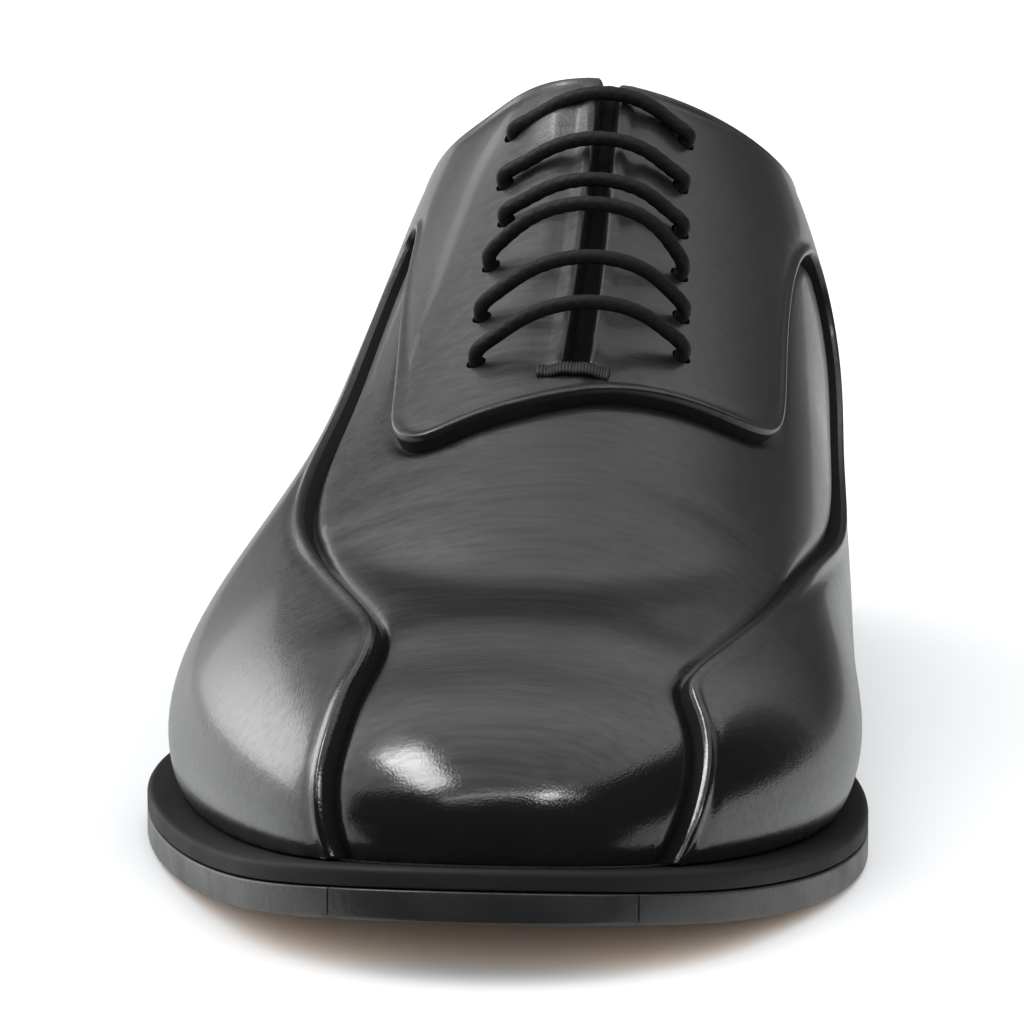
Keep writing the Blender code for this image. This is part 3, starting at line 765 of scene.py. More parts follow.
# Where along the frame the toe's mirror polish is full and where it ends, the share of roughness left there,
# and the range of the shine over the streaks
TOE_SHINE, POLISHED, SHINE = (-0.118, -0.070), 0.38, (0.25, 0.40)


def calf_leather():
    """Burnished black calf: brushed crosswise in fine streaks, and polished to a mirror towards the toe."""
    material = grained_material("black_calf", (0.003, 0.003, 0.0034), (0.008, 0.008, 0.009), (0.24, 0.36),
                                cells=2600.0, mottle=26.0, bump=0.00003)
    tree = material.node_tree
    shader = tree.nodes["Principled BSDF"]
    place = node(tree, "ShaderNodeTexCoord").outputs["Object"]
    brushed = node(tree, "ShaderNodeMapping", {"Vector": place, "Scale": (0.06, 1.0, 1.0)})
    noise = node(tree, "ShaderNodeTexNoise", {"Vector": brushed.outputs[0], "Scale": 900.0, "Detail": 3.0})
    streaks = noise.outputs["Fac"]
    apart = node(tree, "ShaderNodeSeparateXYZ", {0: place})
    dull = ranged(tree, apart.outputs["Y"], TOE_SHINE, (POLISHED, 1.0), interpolation_type="SMOOTHSTEP")
    mottled = shader.inputs["Roughness"].links[0].from_socket
    streaked = node(tree, "ShaderNodeMath", {0: streaks, 1: 0.16, 2: mottled}, operation="MULTIPLY_ADD")
    rough = node(tree, "ShaderNodeMath", {0: streaked.outputs[0], 1: dull}, operation="MULTIPLY")
    bump = {"Height": streaks, "Strength": 0.25, "Distance": 0.00004}
    bump["Normal"] = shader.inputs["Normal"].links[0].from_socket
    lines = node(tree, "ShaderNodeBump", bump)
    feed(tree, shader, Roughness=rough.outputs[0], Normal=lines.outputs[0], Coat_Weight=0.15,
         Coat_Roughness=0.10, Specular_IOR_Level=ranged(tree, streaks, NOISE_RANGE, SHINE))
    return material


calf = calf_leather()

# Steps along plain borders, rolled edges and the lines that distances are taken to; grid of the lasted pieces
COARSE, FINE, FINEST = 0.0015, 0.0010, 0.00008
LEATHER_MESH = 0.0018
SEAM_SIDES = (-0.0030, -0.0021, -0.0014, -0.0008, -0.0003, 0.0003, 0.0008, 0.0014, 0.0021, 0.0030)
wings = {side: wing_run(side, FINE) for side in (-1, 1)}
wing_line = np.concatenate([laid(resample(wings[side], FINEST)) for side in (-1, 1)])
collar_line = np.concatenate([laid(resample(collar_run(side, FINE), FINEST)) for side in (-1, 1)])
throat_line = np.concatenate([laid(resample(throat_run(side, FINE), FINEST)) for side in (-1, 1)])

upper_loop = loop_of(
    bottom_run(-1, 0, HEEL_SEAM, COARSE),
    resample([flat(-1, 0, 0)[0], collar_run(-1, COARSE)[-1]], COARSE),
    collar_run(-1, COARSE)[::-1],
    throat_run(-1, COARSE)[::-1],
    throat_run(1, COARSE),
    collar_run(1, COARSE),
    resample([collar_run(1, COARSE)[-1], flat(1, 0, 0)[0]], COARSE),
    bottom_run(1, 0, HEEL_SEAM, COARSE)[::-1],
    resample([[0, GIRTH], [0, 0]], COARSE),
    resample([[0, 0], [0, -GIRTH]], COARSE),
)

# Soft folds across the shoe: along, bow towards the toe at the sides, middle and half reach round the girth,
# depth (a ridge is negative), half width. The broad ones show in the quarters too, the fine ones in the vamp
# alone.
BROAD_FOLDS = (
    (0.2335, -0.110, 0.00, 0.34, 0.0022, 0.0078),
    (0.2510, -0.020, 0.00, 0.46, -0.0006, 0.0070),
)
FINE_FOLDS = (
    (0.2105, -0.020, -0.32, 0.24, 0.00020, 0.0022),
    (0.2160, -0.020, -0.26, 0.26, 0.00018, 0.0022),
    (0.2040, -0.010, 0.28, 0.20, 0.00014, 0.0024),
    (0.1985, -0.010, -0.10, 0.34, 0.00014, 0.0026),
)


def swell(distance, rise, place, width):
    """Soft ridge: its rise at a place, fading over a width."""
    return rise * np.exp(-((distance - place) / width)**2)


def folded(points, rows):
    """Depth taken off the leather at flat points by the folds of a table."""
    turn = np.interp(points[:, 0], round_steps, turn_steps)
    along, around = LAST_LENGTH * (1 + np.cos(turn)) / 2, points[:, 1] / GIRTH
    depth = np.zeros(len(points))
    for place, bow, middle, reach, drop, width in rows:
        beyond = (around - middle) / reach
        depth += swell(along, drop, place + bow * around**2, width) * np.exp(-beyond**4)
    return depth


# Depth, place and width of the gutter along the quarters and of the thinner rim
GUTTER, THIN_RIM = (0.0008, 0.0, 0.0013), (0.0010, 0.0, 0.0015)


def vamp_depth(points, base):
    """Outer depth of the upper: a gutter along the quarters, folds, and a thin rim at collar and throat."""
    gutter = swell(nearest(base, wing_line), *GUTTER)
    to_rim = np.minimum(nearest(base, collar_line), nearest(base, throat_line))
    return WALL - gutter - swell(to_rim, *THIN_RIM) - folded(points, BROAD_FOLDS + FINE_FOLDS)


seam_guides = [beside(wings[side], distance) for side in (-1, 1) for distance in SEAM_SIDES]

# Where along the ridge the toe is fully smoothed and where that ends, its fade round the girth, its rounds
EASE_ALONG, EASE_GIRTH, EASE_FADE, EASE_ROUNDS = (0.262, 0.205), 0.022, 1.5, 60


def toe_ease(points):
    """Smoothing of the vamp: full along the ridge of the toe, none by the seams."""
    toe_front, toe_back = flat(1, EASE_ALONG, 1.0)[:, 0]
    by_length = np.clip((toe_back - points[:, 0]) / (toe_back - toe_front), 0, 1)
    by_girth = np.clip(EASE_FADE - np.abs(points[:, 1]) / EASE_GIRTH, 0, 1)
    return by_length * by_girth


upper = leather("upper_wall", [upper_loop] + eyelet_loops, LEATHER_MESH, seam_guides, lambda points, base: 0,
                vamp_depth, [calf, lining, calf], ease=toe_ease)
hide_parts("upper")

# Quarters with the facing
# One piece of the same calf over both sides and across the foot of the lacing, laid over vamp and counter.
# Its edges are skived and rolled under; the roll stands proud, with a shallow crease behind it.
OVERLAY_TOP, OVERLAY_LAP = 0.0037, 0.0010
OVERLAY_FOOT = WALL - OVERLAY_LAP
ROLL, RAW_EDGE = 0.0007, 0.00028
CORNER, CORNER_LIFT, CORNER_REACH = (0.1262, 0.930), 0.0017, 0.0100
EDGE_SIDES = (0.00006, 0.00014, 0.00022, 0.00034, 0.0005, 0.0007, 0.0011, 0.0016, 0.0022, 0.0030)
# Gap between the quarters' back edge and the strip, and share of the full height at the very edge
STRIP_CLEAR, EDGE_START = 0.0002, 0.10
# Rise, distance from the edge and half width of the roll's bead and the crease behind it, and of the lace
# slit's piping and its groove, which fade towards the collar
BEAD, CREASE = (0.00010, 0.0009, 0.0006), (0.00016, 0.0022, 0.0006)
PIPING, PIPING_GROOVE, PIPING_FADE = (0.0003, 0.0012, 0.0009), (0.0003, 0.0030, 0.0005), 0.0060

# Half width of the backstay: share of the collar's height, width
BACKSTAY = (
    (0.00, 0.0180),
    (0.30, 0.0140),
    (0.65, 0.0096),
    (0.85, 0.0098),
    (1.00, 0.0130),
)
strip_half, = columns(BACKSTAY)


def strip_run(side, step, clear):
    """Edge of the backstay from the bottom up to the collar."""
    top = collar_share(side, np.array([0.0]))[0]
    share = np.linspace(0, 1, 11)
    half = strip_half(share) + clear
    return smooth(np.column_stack([HEEL_SEAM - half, side * (1 - share * top) * GIRTH]), step)


quarter_runs, quarter_edges = {}, []
for side in (-1, 1):
    back = strip_run(side, FINE, STRIP_CLEAR)
    top = collar_run(side, FINE)
    top = top[top[:, 0] < back[-1, 0] - 0.6 * FINE]
    quarter_runs[side] = np.concatenate([
        wings[side][::-1],
        bottom_run(side, wings[side][0, 0], back[0, 0], COARSE)[1:],
        back[1:],
        top[::-1],
        throat_run(side, FINE)[::-1],
    ])
    quarter_edges += [wings[side], back, top, throat_run(side, FINE)]
quarter_loop = loop_of(quarter_runs[-1], quarter_runs[1][::-1])
quarter_line = np.concatenate([laid(resample(run, FINEST)) for run in quarter_edges])


def quarter_depth(points, base):
    """Outer depth of the quarters: rolled edge with a crease behind it, piped slit and turned-up corner."""
    away = nearest(base, quarter_line)
    roll = EDGE_START + (1 - EDGE_START) * (1 - (1 - np.minimum(away / ROLL, 1))**3)
    bead = swell(away, *BEAD) - swell(away, *CREASE)
    from_slit = nearest(base, throat_line)
    piping = swell(from_slit, *PIPING) - swell(from_slit, *PIPING_GROOVE)
    piping *= 1 - swell(nearest(base, collar_line), 1, 0, PIPING_FADE)
    corner = np.linalg.norm(base - laid(flat(-1, *CORNER))[0], axis=1)
    turned_up = swell(corner, CORNER_LIFT, 0, CORNER_REACH) * (points[:, 1] < 0)
    height = (OVERLAY_TOP - OVERLAY_FOOT + turned_up) * roll + (bead + piping) * roll
    return OVERLAY_FOOT + height - folded(points, BROAD_FOLDS)


# Matt black finish. On the quarters' rim it is the inked cut edge; on the tongue's face and on the wheel
# marks its darkness is painted shade.
edge_ink_and_painted_shade = grained_material("edge_ink_and_painted_shade", (0.002, 0.002, 0.002), (0.006, 0.006, 0.006), (0.75, 0.9),
                            cells=1800.0, mottle=90.0, bump=0.00008, specular=0.12)
sides = [sign * distance for distance in EDGE_SIDES for sign in (-1, 1)]
edge_guides = [beside(run, distance) for run in quarter_edges for distance in sides]
quarters = leather("quarters_and_facing", [quarter_loop] + eyelet_loops, LEATHER_MESH, edge_guides,
                   lambda points, base: OVERLAY_FOOT, quarter_depth, [calf, calf, edge_ink_and_painted_shade],
                   lambda base: nearest(base, wing_line) < RAW_EDGE)
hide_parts("quarters")

# Stitches
# Fine black waxed thread: a row down each side of the heel strip, lock-stitched and sunk into the crease
# behind the edge, and a bar of close stitches that holds the foot of the lace slit. The other edges are
# cemented and show none.
# Length, width and height of a stitch, the pitch, the distance from the edge and the depth it sinks in
STITCH, STITCH_PITCH, STITCH_INSET, STITCH_SUNK = (0.0018, 0.00050, 0.00040), 0.0024, 0.0022, 0.00002
# The same of the bar's stitches, half the bar's length, its distance below the slit and its rise
TACK, TACK_PITCH, TACK_HALF, TACK_BELOW, TACK_RISE = (0.0030, 0.0009, 0.0012), 0.00040, 0.0045, 0.0014, 0.0002
# Step of the line that stitches are spaced on, and reach either way to the points that turn a stitch
STITCH_TRACE, STITCH_REACH, TACK_REACH = 0.0002, 0.0004, 0.0003


def bead_tree():
    """Geometry Nodes tree that sets a small rounded bead on each point, turned by the point's way and out."""
    tree = bpy.data.node_groups.new("row of beads", "GeometryNodeTree")
    tree.interface.new_socket("Geometry", in_out="INPUT", socket_type="NodeSocketGeometry")
    for name in ("Length", "Width", "Height"):
        tree.interface.new_socket(name, in_out="INPUT", socket_type="NodeSocketFloat")
    tree.interface.new_socket("Material", in_out="INPUT", socket_type="NodeSocketMaterial")
    tree.interface.new_socket("Geometry", in_out="OUTPUT", socket_type="NodeSocketGeometry")
    given = tree.nodes.new("NodeGroupInput").outputs
    result = tree.nodes.new("NodeGroupOutput")
    ball = node(tree, "GeometryNodeMeshUVSphere", {"Segments": 8, "Rings": 6, "Radius": 0.5})
    sizes = {"X": given["Length"], "Y": given["Width"], "Z": given["Height"]}
    size = node(tree, "ShaderNodeCombineXYZ", sizes)
    bead = node(tree, "GeometryNodeTransform", {"Geometry": ball.outputs["Mesh"], "Scale": size.outputs[0]})
    axes = []
    for name in ("way", "out"):
        stored = node(tree, "GeometryNodeInputNamedAttribute", {"Name": name}, data_type="FLOAT_VECTOR")
        axes.append(stored.outputs["Attribute"])
    turn = node(tree, "FunctionNodeAxesToRotation", {0: axes[1], 1: axes[0]},
                primary_axis="Z", secondary_axis="X")
    dots = node(tree, "GeometryNodeMeshToPoints", {"Mesh": given["Geometry"]})
    placing = {"Points": dots.outputs[0], "Instance": bead.outputs[0], "Rotation": turn.outputs[0]}
    row = node(tree, "GeometryNodeInstanceOnPoints", placing)
    real = node(tree, "GeometryNodeRealizeInstances", {"Geometry": row.outputs[0]})
    soft = node(tree, "GeometryNodeSetShadeSmooth", {"Geometry": real.outputs[0]})
    done = node(tree, "GeometryNodeSetMaterial", {"Geometry": soft.outputs[0], "Material": given["Material"]})
    tree.links.new(done.outputs[0], result.inputs[0])
    return tree


bead_row = bead_tree()


def beads(name, spots, ways, outs, size, material, slot):
    """Piece of beads at spots in the frame, their length laid along ways and their height along outs."""
    mesh = bpy.data.meshes.new(name)
    mesh.from_pydata([tuple(spot) for spot in spots], [], [])
    for label, vectors in (("way", ways), ("out", outs)):
        mesh.attributes.new(label, "FLOAT_VECTOR", "POINT").data.foreach_set("vector", np.ravel(vectors))
    piece = linked(name, mesh)
    maker = piece.modifiers.new("beads", "NODES")
    maker.node_group = bead_row
    values = dict(zip(("Length", "Width", "Height", "Material"), (*size, material)))
    for socket in bead_row.interface.items_tree:
        if socket.in_out == "INPUT" and socket.name in values:
            maker[socket.identifier] = values[socket.name]
    made = piece.evaluated_get(bpy.context.evaluated_depsgraph_get())
    finished = bpy.data.meshes.new_from_object(made)
    piece.modifiers.remove(maker)
    piece.data = finished
    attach(piece, "root")
    return piece


def on_leather(points, depth):
    """Frame places of flat points at a depth outside the last, and the outward directions there."""
    base, out = laid(points), upright(points)
    spots = world(base + depth[:, None] * out)
    return spots, world(base + (depth[:, None] + 1e-4) * out) - spots


def stitch_points(run, distance):
    """Flat points at an even true pitch on a line beside a run, on the quarters."""
    fine = resample(run, STITCH_TRACE)
    sign = max((1, -1), key=lambda s: inside(beside(fine[::20], s * distance), [quarter_loop]).sum())
    line = beside(fine, sign * distance)
    length = lengths(laid(line))
    at = np.arange(STITCH_PITCH, length[-1] - STITCH_PITCH, STITCH_PITCH)
    ends = []
    for step in (-STITCH_REACH, 0, STITCH_REACH):
        ends.append(np.column_stack([np.interp(at + step, length, line[:, k]) for k in (0, 1)]))
    clear = (nearest(laid(ends[1]), quarter_line) > 0.9 * distance) & inside(ends[1], [quarter_loop])
    return [part[clear] for part in ends]


thread = grained_material("black_thread", (0.004, 0.004, 0.0045), (0.010, 0.010, 0.011), (0.5, 0.65),
                          cells=4200.0, mottle=300.0, bump=0.00006, specular=0.25)
stitch_rows = [stitch_points(strip_run(side, FINE, STRIP_CLEAR), STITCH_INSET) for side in (-1, 1)]
before, middle, after = (np.concatenate(part) for part in zip(*stitch_rows))
stitch_spots, stitch_outs = on_leather(middle, quarter_depth(middle, laid(middle)) - STITCH_SUNK)
stitch_ways = world(laid(after)) - world(laid(before))
beads("heel_stitches", stitch_spots, stitch_ways, stitch_outs, STITCH, thread, "black_calf")

tack_centre = flat(1, THROAT_FOOT + TACK_BELOW, 1.0)
tack_across = np.arange(-TACK_HALF, TACK_HALF, TACK_PITCH) / np.sqrt(measures(tack_centre)[2])
tack_points = tack_centre + np.column_stack([np.zeros(len(tack_across)), tack_across])
tack_spots, tack_outs = on_leather(tack_points, quarter_depth(tack_points, laid(tack_points)) + TACK_RISE)
tack_ways = world(laid(tack_points + (TACK_REACH, 0))) - world(laid(tack_points - (TACK_REACH, 0)))
beads("slit_bar_tack", tack_spots, tack_ways, tack_outs, TACK, thread, "black_calf")

# Backstay
# A strip of calf down the back of the heel, its sides tucked under the quarters and sewn down there.
# Its top is flared at the collar.
BACKSTAY_TOP, BACKSTAY_TUCK, BACKSTAY_RIM = 0.0027, 0.0030, (0.0012, 0.0, 0.0008)
strip_loops = []
for side in (-1, 1):
    edge = strip_run(side, COARSE, BACKSTAY_TUCK)
    edge = edge[edge[:, 0] < HEEL_SEAM]
    seam_top = collar_run(side, COARSE)[-1]
    strip_loops.append(loop_of(
        edge,
        resample([edge[-1], seam_top], COARSE),
        resample([seam_top, [HEEL_SEAM, side * GIRTH]], COARSE),
        bottom_run(side, edge[0, 0], HEEL_SEAM, COARSE)[::-1],
    ))


def backstay_depth(points, base):
    """Outer depth of the backstay, rounded over at the collar."""
    return BACKSTAY_TOP - swell(nearest(base, collar_line), *BACKSTAY_RIM)


backstay = leather("backstay_strip", strip_loops, LEATHER_MESH, (), lambda points, base: OVERLAY_FOOT,
                   backstay_depth, [calf, calf, calf])
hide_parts("backstay")

# Tongue
# A tapered flap of calf under the throat, sewn to the vamp at its foot and loose above. Its top ends level
# with the facings, and it fills the slit between them.
TONGUE, TONGUE_FACE = 0.0017, -0.0006
TONGUE_RISE, TONGUE_RISE_HALF, TONGUE_RISE_ALONG = 0.0022, 0.0045, 0.012
# Edge of the tongue: along, share of the girth up from the bottom edge
TONGUE_SHAPE = (
    (0.2000, 0.86),
    (0.1980, 0.80),
    (0.1750, 0.72),
    (0.1500, 0.73),
    (0.1300, 0.75),
    (0.1246, 0.83),
)
tongue_loop = loop_of(
    smooth([flat(-1, *row)[0] for row in TONGUE_SHAPE], COARSE),
    resample([flat(-1, *TONGUE_SHAPE[-1])[0], flat(1, *TONGUE_SHAPE[-1])[0]], COARSE),
    smooth([flat(1, *row)[0] for row in TONGUE_SHAPE], COARSE)[::-1],
)


def tongue_depth(points, base):
    """Outer depth of the tongue, pressed up into the top of the slit."""
    top = flat(1, THROAT_TOP, 1.0)[0, 0]
    pressed = swell(points[:, 1], TONGUE_RISE, 0, TONGUE_RISE_HALF)
    return TONGUE_FACE + pressed * swell(points[:, 0], 1, top, TONGUE_RISE_ALONG)


# The tongue's face takes the matt black: painted shade, standing for the shadow deep in the lace slit.
tongue = leather("tongue_flap", [tongue_loop], LEATHER_MESH, (),
                 lambda points, base: tongue_depth(points, base) - TONGUE, tongue_depth,
                 [edge_ink_and_painted_shade, lining, calf])
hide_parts("tongue")

# Welt
# A strip of leather sewn round the upper's foot, dressed black. Its edge is rounded over at the top and a
# fine line shows where the outsole meets it.
# Sole edge outside the last's bottom: along, lateral, medial
SOLE_EDGE = (
    (0.0000, 0.0046, 0.0046),
    (0.0500, 0.0044, 0.0044),
    (0.0900, 0.0042, 0.0040),
    (0.1300, 0.0048, 0.0040),
    (0.1800, 0.0080, 0.0072),
    (0.2200, 0.0090, 0.0086),
    (0.2600, 0.0100, 0.0100),
    (0.2855, 0.0112, 0.0112),
)
edge_lateral, edge_medial = columns(SOLE_EDGE)
WELT_INSET, WELT_LAP, WELT_CORNERS, WELT_MESH = 0.0003, 0.0002, (0.0004, 0.0010), 0.0030


def sole_edge(side, along):
    return (edge_lateral if side < 0 else edge_medial)(along)


def rounded(low, high, foot_radius, top_radius, height):
    """Levels of an edge between two rises over a height, with rounded corners at its foot and top."""
    levels = []
    for corner, base, way in ((foot_radius, low, 1), (top_radius, high, -1)):
        turns = np.linspace(0, np.pi / 2, 5)
        arc = [(corner * (1 - np.sin(turn)), base + way * corner * (1 - np.cos(turn))) for turn in turns]
        levels += arc[::way]
    return [(draw, at_height(lambda along, rise=rise: height(along) + rise)) for draw, rise in levels]


edge_black = grained_material("edge_black", (0.005, 0.005, 0.0055), (0.012, 0.012, 0.013), (0.55, 0.70),
                              cells=1500.0, mottle=60.0, bump=0.00005, specular=0.12)
sole_loop = outline(sole_edge, COARSE)
welt_hole = outline(inset(WELT_INSET), COARSE)
welt_foot = OUTSOLE + SEAM
welt = block("welt_strip", [sole_loop, welt_hole], WELT_MESH,
             rounded(welt_foot - WELT_LAP, welt_foot + WELT, *WELT_CORNERS, underside), [edge_black] * 3)
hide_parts("welt")

# Outsole
# Sole leather stitched to the welt: edges and waist dressed black, forepart left natural and met by a V at
# the waist.
TIP = sole_loop[:, 1].max()
TOE_PLATE, TOE_PLATE_BOW, TOE_PLATE_HALF = 0.0112, 0.0040, 0.022
SOLE_CORNERS, SOLE_CLEAR, SOLE_MESH = (0.0008, 0.0004), 0.0001, 0.0035
# Ends of the V's line across, and how far it stays off the sole's edge
V_ENDS, V_CLEAR = (-0.052, 0.049), 0.0012
# Rear edge of the natural forepart: across, along
FOREPART = ((-0.0600, 0.1815), (-0.0450, 0.1800), (-0.0250, 0.1725), (-0.0100, 0.1620), (0.0000, 0.1530),
            (0.0100, 0.1615), (0.0250, 0.1735), (0.0420, 0.1830), (0.0560, 0.1850))


def cut(loop, line, keep, step):
    """Part of a closed plan loop behind (keep 1) or in front of (keep -1) a line across the shoe."""
    over = keep * (line(loop[:, 0]) - loop[:, 1])
    start = next(k for k in range(len(loop)) if over[k] >= 0 and over[k - 1] < 0)
    loop, over = np.roll(loop, -start, axis=0), np.roll(over, -start)
    stop = int(np.argmax(over < 0))
    ends = []
    for a, b in ((-1, 0), (stop - 1, stop)):
        t = over[a] / (over[a] - over[b])
        ends.append(loop[a] + t * (loop[b] - loop[a]))
    across = np.linspace(ends[1][0], ends[0][0], 200)
    seam = resample(np.column_stack([across, line(across)]), step)
    return loop_of(loop[:stop], seam)


def plate_line(across):
    return TIP - TOE_PLATE + TOE_PLATE_BOW * (across / TOE_PLATE_HALF)**2


forepart_across, forepart_along = np.array(FOREPART).T
forepart_lateral = spline(forepart_across[:5], forepart_along[:5])
forepart_medial = spline(forepart_across[4:], forepart_along[4:])


def forepart_line(across):
    lateral, medial = forepart_lateral(np.minimum(across, 0)), forepart_medial(np.maximum(across, 0))
    return np.where(across < 0, lateral, medial)


edge_satin = grained_material("edge_satin", (0.006, 0.006, 0.0065), (0.018, 0.018, 0.019), (0.34, 0.52),
                              cells=1100.0, mottle=110.0, bump=0.00007)
sole_tan = grained_material("sole_leather", (0.36, 0.205, 0.095), (0.47, 0.29, 0.145), (0.42, 0.58),
                            cells=900.0, mottle=34.0, bump=0.00006)
waist_black = grained_material("waist_black", (0.006, 0.006, 0.0065), (0.013, 0.013, 0.014), (0.28, 0.42),
                               cells=1300.0, mottle=40.0, bump=0.00004)
outsole_loop = cut(sole_loop, plate_line, 1, COARSE)
across = np.linspace(*V_ENDS, 90)
v_line = np.column_stack([across, forepart_line(across)])
v_line = v_line[inside(v_line, [outsole_loop])]
v_line = v_line[nearest(v_line, outsole_loop) > V_CLEAR]
outsole = block("outsole_leather", [outsole_loop], SOLE_MESH,
                rounded(0, OUTSOLE - SOLE_CLEAR, *SOLE_CORNERS, underside),
                [edge_satin, sole_tan, edge_black, waist_black],
                lambda centre: 1 if centre[1] > forepart_line(centre[0]) else 3, [v_line])
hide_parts("outsole")

# Marks of a hot wheel pressed into the black band behind the V, each at right angles to it, drawn as low bars
# of the matt black whose darkness is painted shade in the grooves.
WHEEL_MARK, WHEEL_PITCH, WHEEL_BACK, WHEEL_SUNK = (0.0044, 0.0008, 0.0006), 0.0025, 0.0034, 0.00014
WHEEL_REACH = 0.0005
wheel_run = resample(v_line, WHEEL_PITCH)
wheel_way = np.gradient(wheel_run, axis=0) @ ((0, -1), (1, 0))
wheel_way /= -np.sign(wheel_way[:, 1:]) * np.linalg.norm(wheel_way, axis=1, keepdims=True)
wheel_ends = []
for distance in (WHEEL_BACK, WHEEL_BACK + WHEEL_REACH):
    wheel_ends.append(world(at_height(underside)(wheel_run + distance * wheel_way)) + (0, 0, WHEEL_SUNK))
wheel_outs = np.tile((0.0, 0.0, -1.0), (len(wheel_run), 1))
wheel_ways = wheel_ends[1] - wheel_ends[0]
beads("wheel_marks", wheel_ends[0], wheel_ways, wheel_outs, WHEEL_MARK, edge_ink_and_painted_shade, "sole_leather")

# Toe plate
# A thin plate of black rubber let into the tip of the outsole, flush with it, where the toe wears first.
PLATE_CORNERS = (0.0006, 0.0004)
rubber = grained_material("black_rubber", (0.009, 0.009, 0.0095), (0.017, 0.017, 0.018), (0.62, 0.8),
                          cells=3200.0, mottle=120.0, bump=0.00010)
plate_loop = cut(sole_loop, lambda x: plate_line(x) + SEAM, -1, COARSE)
toe_plate = block("toe_plate_tip", [plate_loop], SOLE_MESH,
                  rounded(0, OUTSOLE - SOLE_CLEAR, *PLATE_CORNERS, underside), [edge_satin, rubber, rubber])
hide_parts("toe_plate")

# Heel lifts
# Layers of sole leather glued and pinned under the heel, ground to one tapered form and dressed black; the
# joints between the layers show as fine lines.
TOP_PIECE, LOWER_LIFT = 0.35, 0.675
HEEL_TAPER, HEEL_CENTRE = 0.045, 0.040
JOINT, JOINT_DEPTH, HEEL_MESH = 0.016, 0.00035, 0.0050
# Front of the heel: across, along
BREAST = (
    (-0.045, 0.0745),
    (-0.036, 0.0740),
    (-0.018, 0.0700),
    (0.000, 0.0690),
    (0.015, 0.0720),
    (0.028, 0.0800),
    (0.034, 0.0850),
    (0.045, 0.0860),
)
breast_line, = columns(BREAST)


def heel_level(share):
    """Places plan points at a share of the heel's height, drawn in towards the floor."""
    def place(plan):
        scale = 1 - HEEL_TAPER * (1 - share)
        along = HEEL_CENTRE + (plan[:, 1] - HEEL_CENTRE) * scale
        return np.column_stack([plan[:, 0] * scale, along, share * underside(plan[:, 1])])
    return place


def lift_levels(low, high, layers):
    """Levels of a stack of layers with a fine groove at each joint."""
    joints = np.linspace(low, high, layers + 1)
    levels = []
    for foot_share, top_share in zip(joints, joints[1:]):
        levels += [(JOINT_DEPTH, heel_level(foot_share)), (0, heel_level(foot_share + JOINT)),
                   (0, heel_level(top_share - JOINT)), (JOINT_DEPTH, heel_level(top_share - 1e-4))]
    return levels


heel_loop = cut(sole_loop, breast_line, 1, COARSE)
for node_name, *shares in (("heel_lift_upper", LOWER_LIFT, 1), ("heel_lift_lower", TOP_PIECE, LOWER_LIFT)):
    lift = block(node_name + "_layers", [heel_loop], HEEL_MESH, lift_levels(*shares, 2), [edge_satin] * 3)
    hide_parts(node_name)

# Heel top piece
# The layer that meets the floor: natural sole leather in front and black rubber behind, butted in one line.
# Small steel nails hold the leather.
RUBBER_FRONT = 0.0445
# Inset of the edge at shares of the heel's height, from the floor up
TOP_PIECE_EDGE = (
    (0.0006, 0.0),
    (0.0002, 0.010),
    (0.0, 0.03),
    (0.0, TOP_PIECE - JOINT),
    (JOINT_DEPTH, TOP_PIECE - 1e-4),
)
rubber_loop = cut(heel_loop, lambda x: np.full_like(x, RUBBER_FRONT), 1, COARSE)
front_loop = cut(heel_loop, lambda x: np.full_like(x, RUBBER_FRONT + SEAM), -1, COARSE)
TOP_PIECES = (
    ("top_piece_rubber", rubber_loop, rubber),
    ("top_piece_leather", front_loop, sole_tan),
)
for node_name, loop, face in TOP_PIECES:
    levels = [(draw, heel_level(share)) for draw, share in TOP_PIECE_EDGE]
    top_piece = block(node_name + "_layer", [loop], HEEL_MESH, levels, [edge_satin, face, edge_satin])
    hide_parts(node_name)

# Nails of the leather half, a row along either edge: how far from the back of the heel
NAIL_ALONG = {-1: (0.0500, 0.0605, 0.0700), 1: (0.0500, 0.0590, 0.0680, 0.0765)}
NAIL, NAIL_INSET, NAIL_SUNK = (0.0019, 0.0019, 0.0004), 0.0060, 0.00012
nail_plan = []
for side, places in NAIL_ALONG.items():
    base, out = foot(side, turn_of(places))
    nail_plan.append(base + out * (sole_edge(side, base[:, 1]) - NAIL_INSET)[:, None])
nail_spots = world(heel_level(0)(np.concatenate(nail_plan))) + (0, 0, NAIL_SUNK)
steel = grained_material("nail_steel", (0.05, 0.045, 0.04), (0.12, 0.11, 0.10), (0.45, 0.65),
                         cells=2200.0, mottle=300.0, bump=0.00005, metal=0.8)
nail_axes = [np.tile(axis, (len(nail_spots), 1)) for axis in ((1.0, 0.0, 0.0), (0.0, 0.0, -1.0))]
beads("heel_nails", nail_spots, *nail_axes, NAIL, steel, "sole_leather")

# Lace
# One round braided cord of waxed black cotton, drawn through the punched eyelets in six bars; its ends are
# tucked under the facings.
LACE = 0.0022
LACE_SIDES, LACE_POINTS = 20, 150
LACE_END = 0.0006
BRAID_STRANDS, BRAID_PITCH, BRAID_RELIEF = 4, 0.0021, 0.045
# Points of a bar's path, from the lateral eyelet to the medial one
BAR_SHARES = np.array([-1.0, -1.0, -0.97, -0.80, -0.45, 0.0, 0.45, 0.80, 0.97, 1.0, 1.0])
cord = grained_material("waxed_cord", (0.002, 0.002, 0.0022), (0.005, 0.005, 0.0055), (0.55, 0.70),
                        cells=2600.0, mottle=200.0, bump=0.00008, specular=0.16)


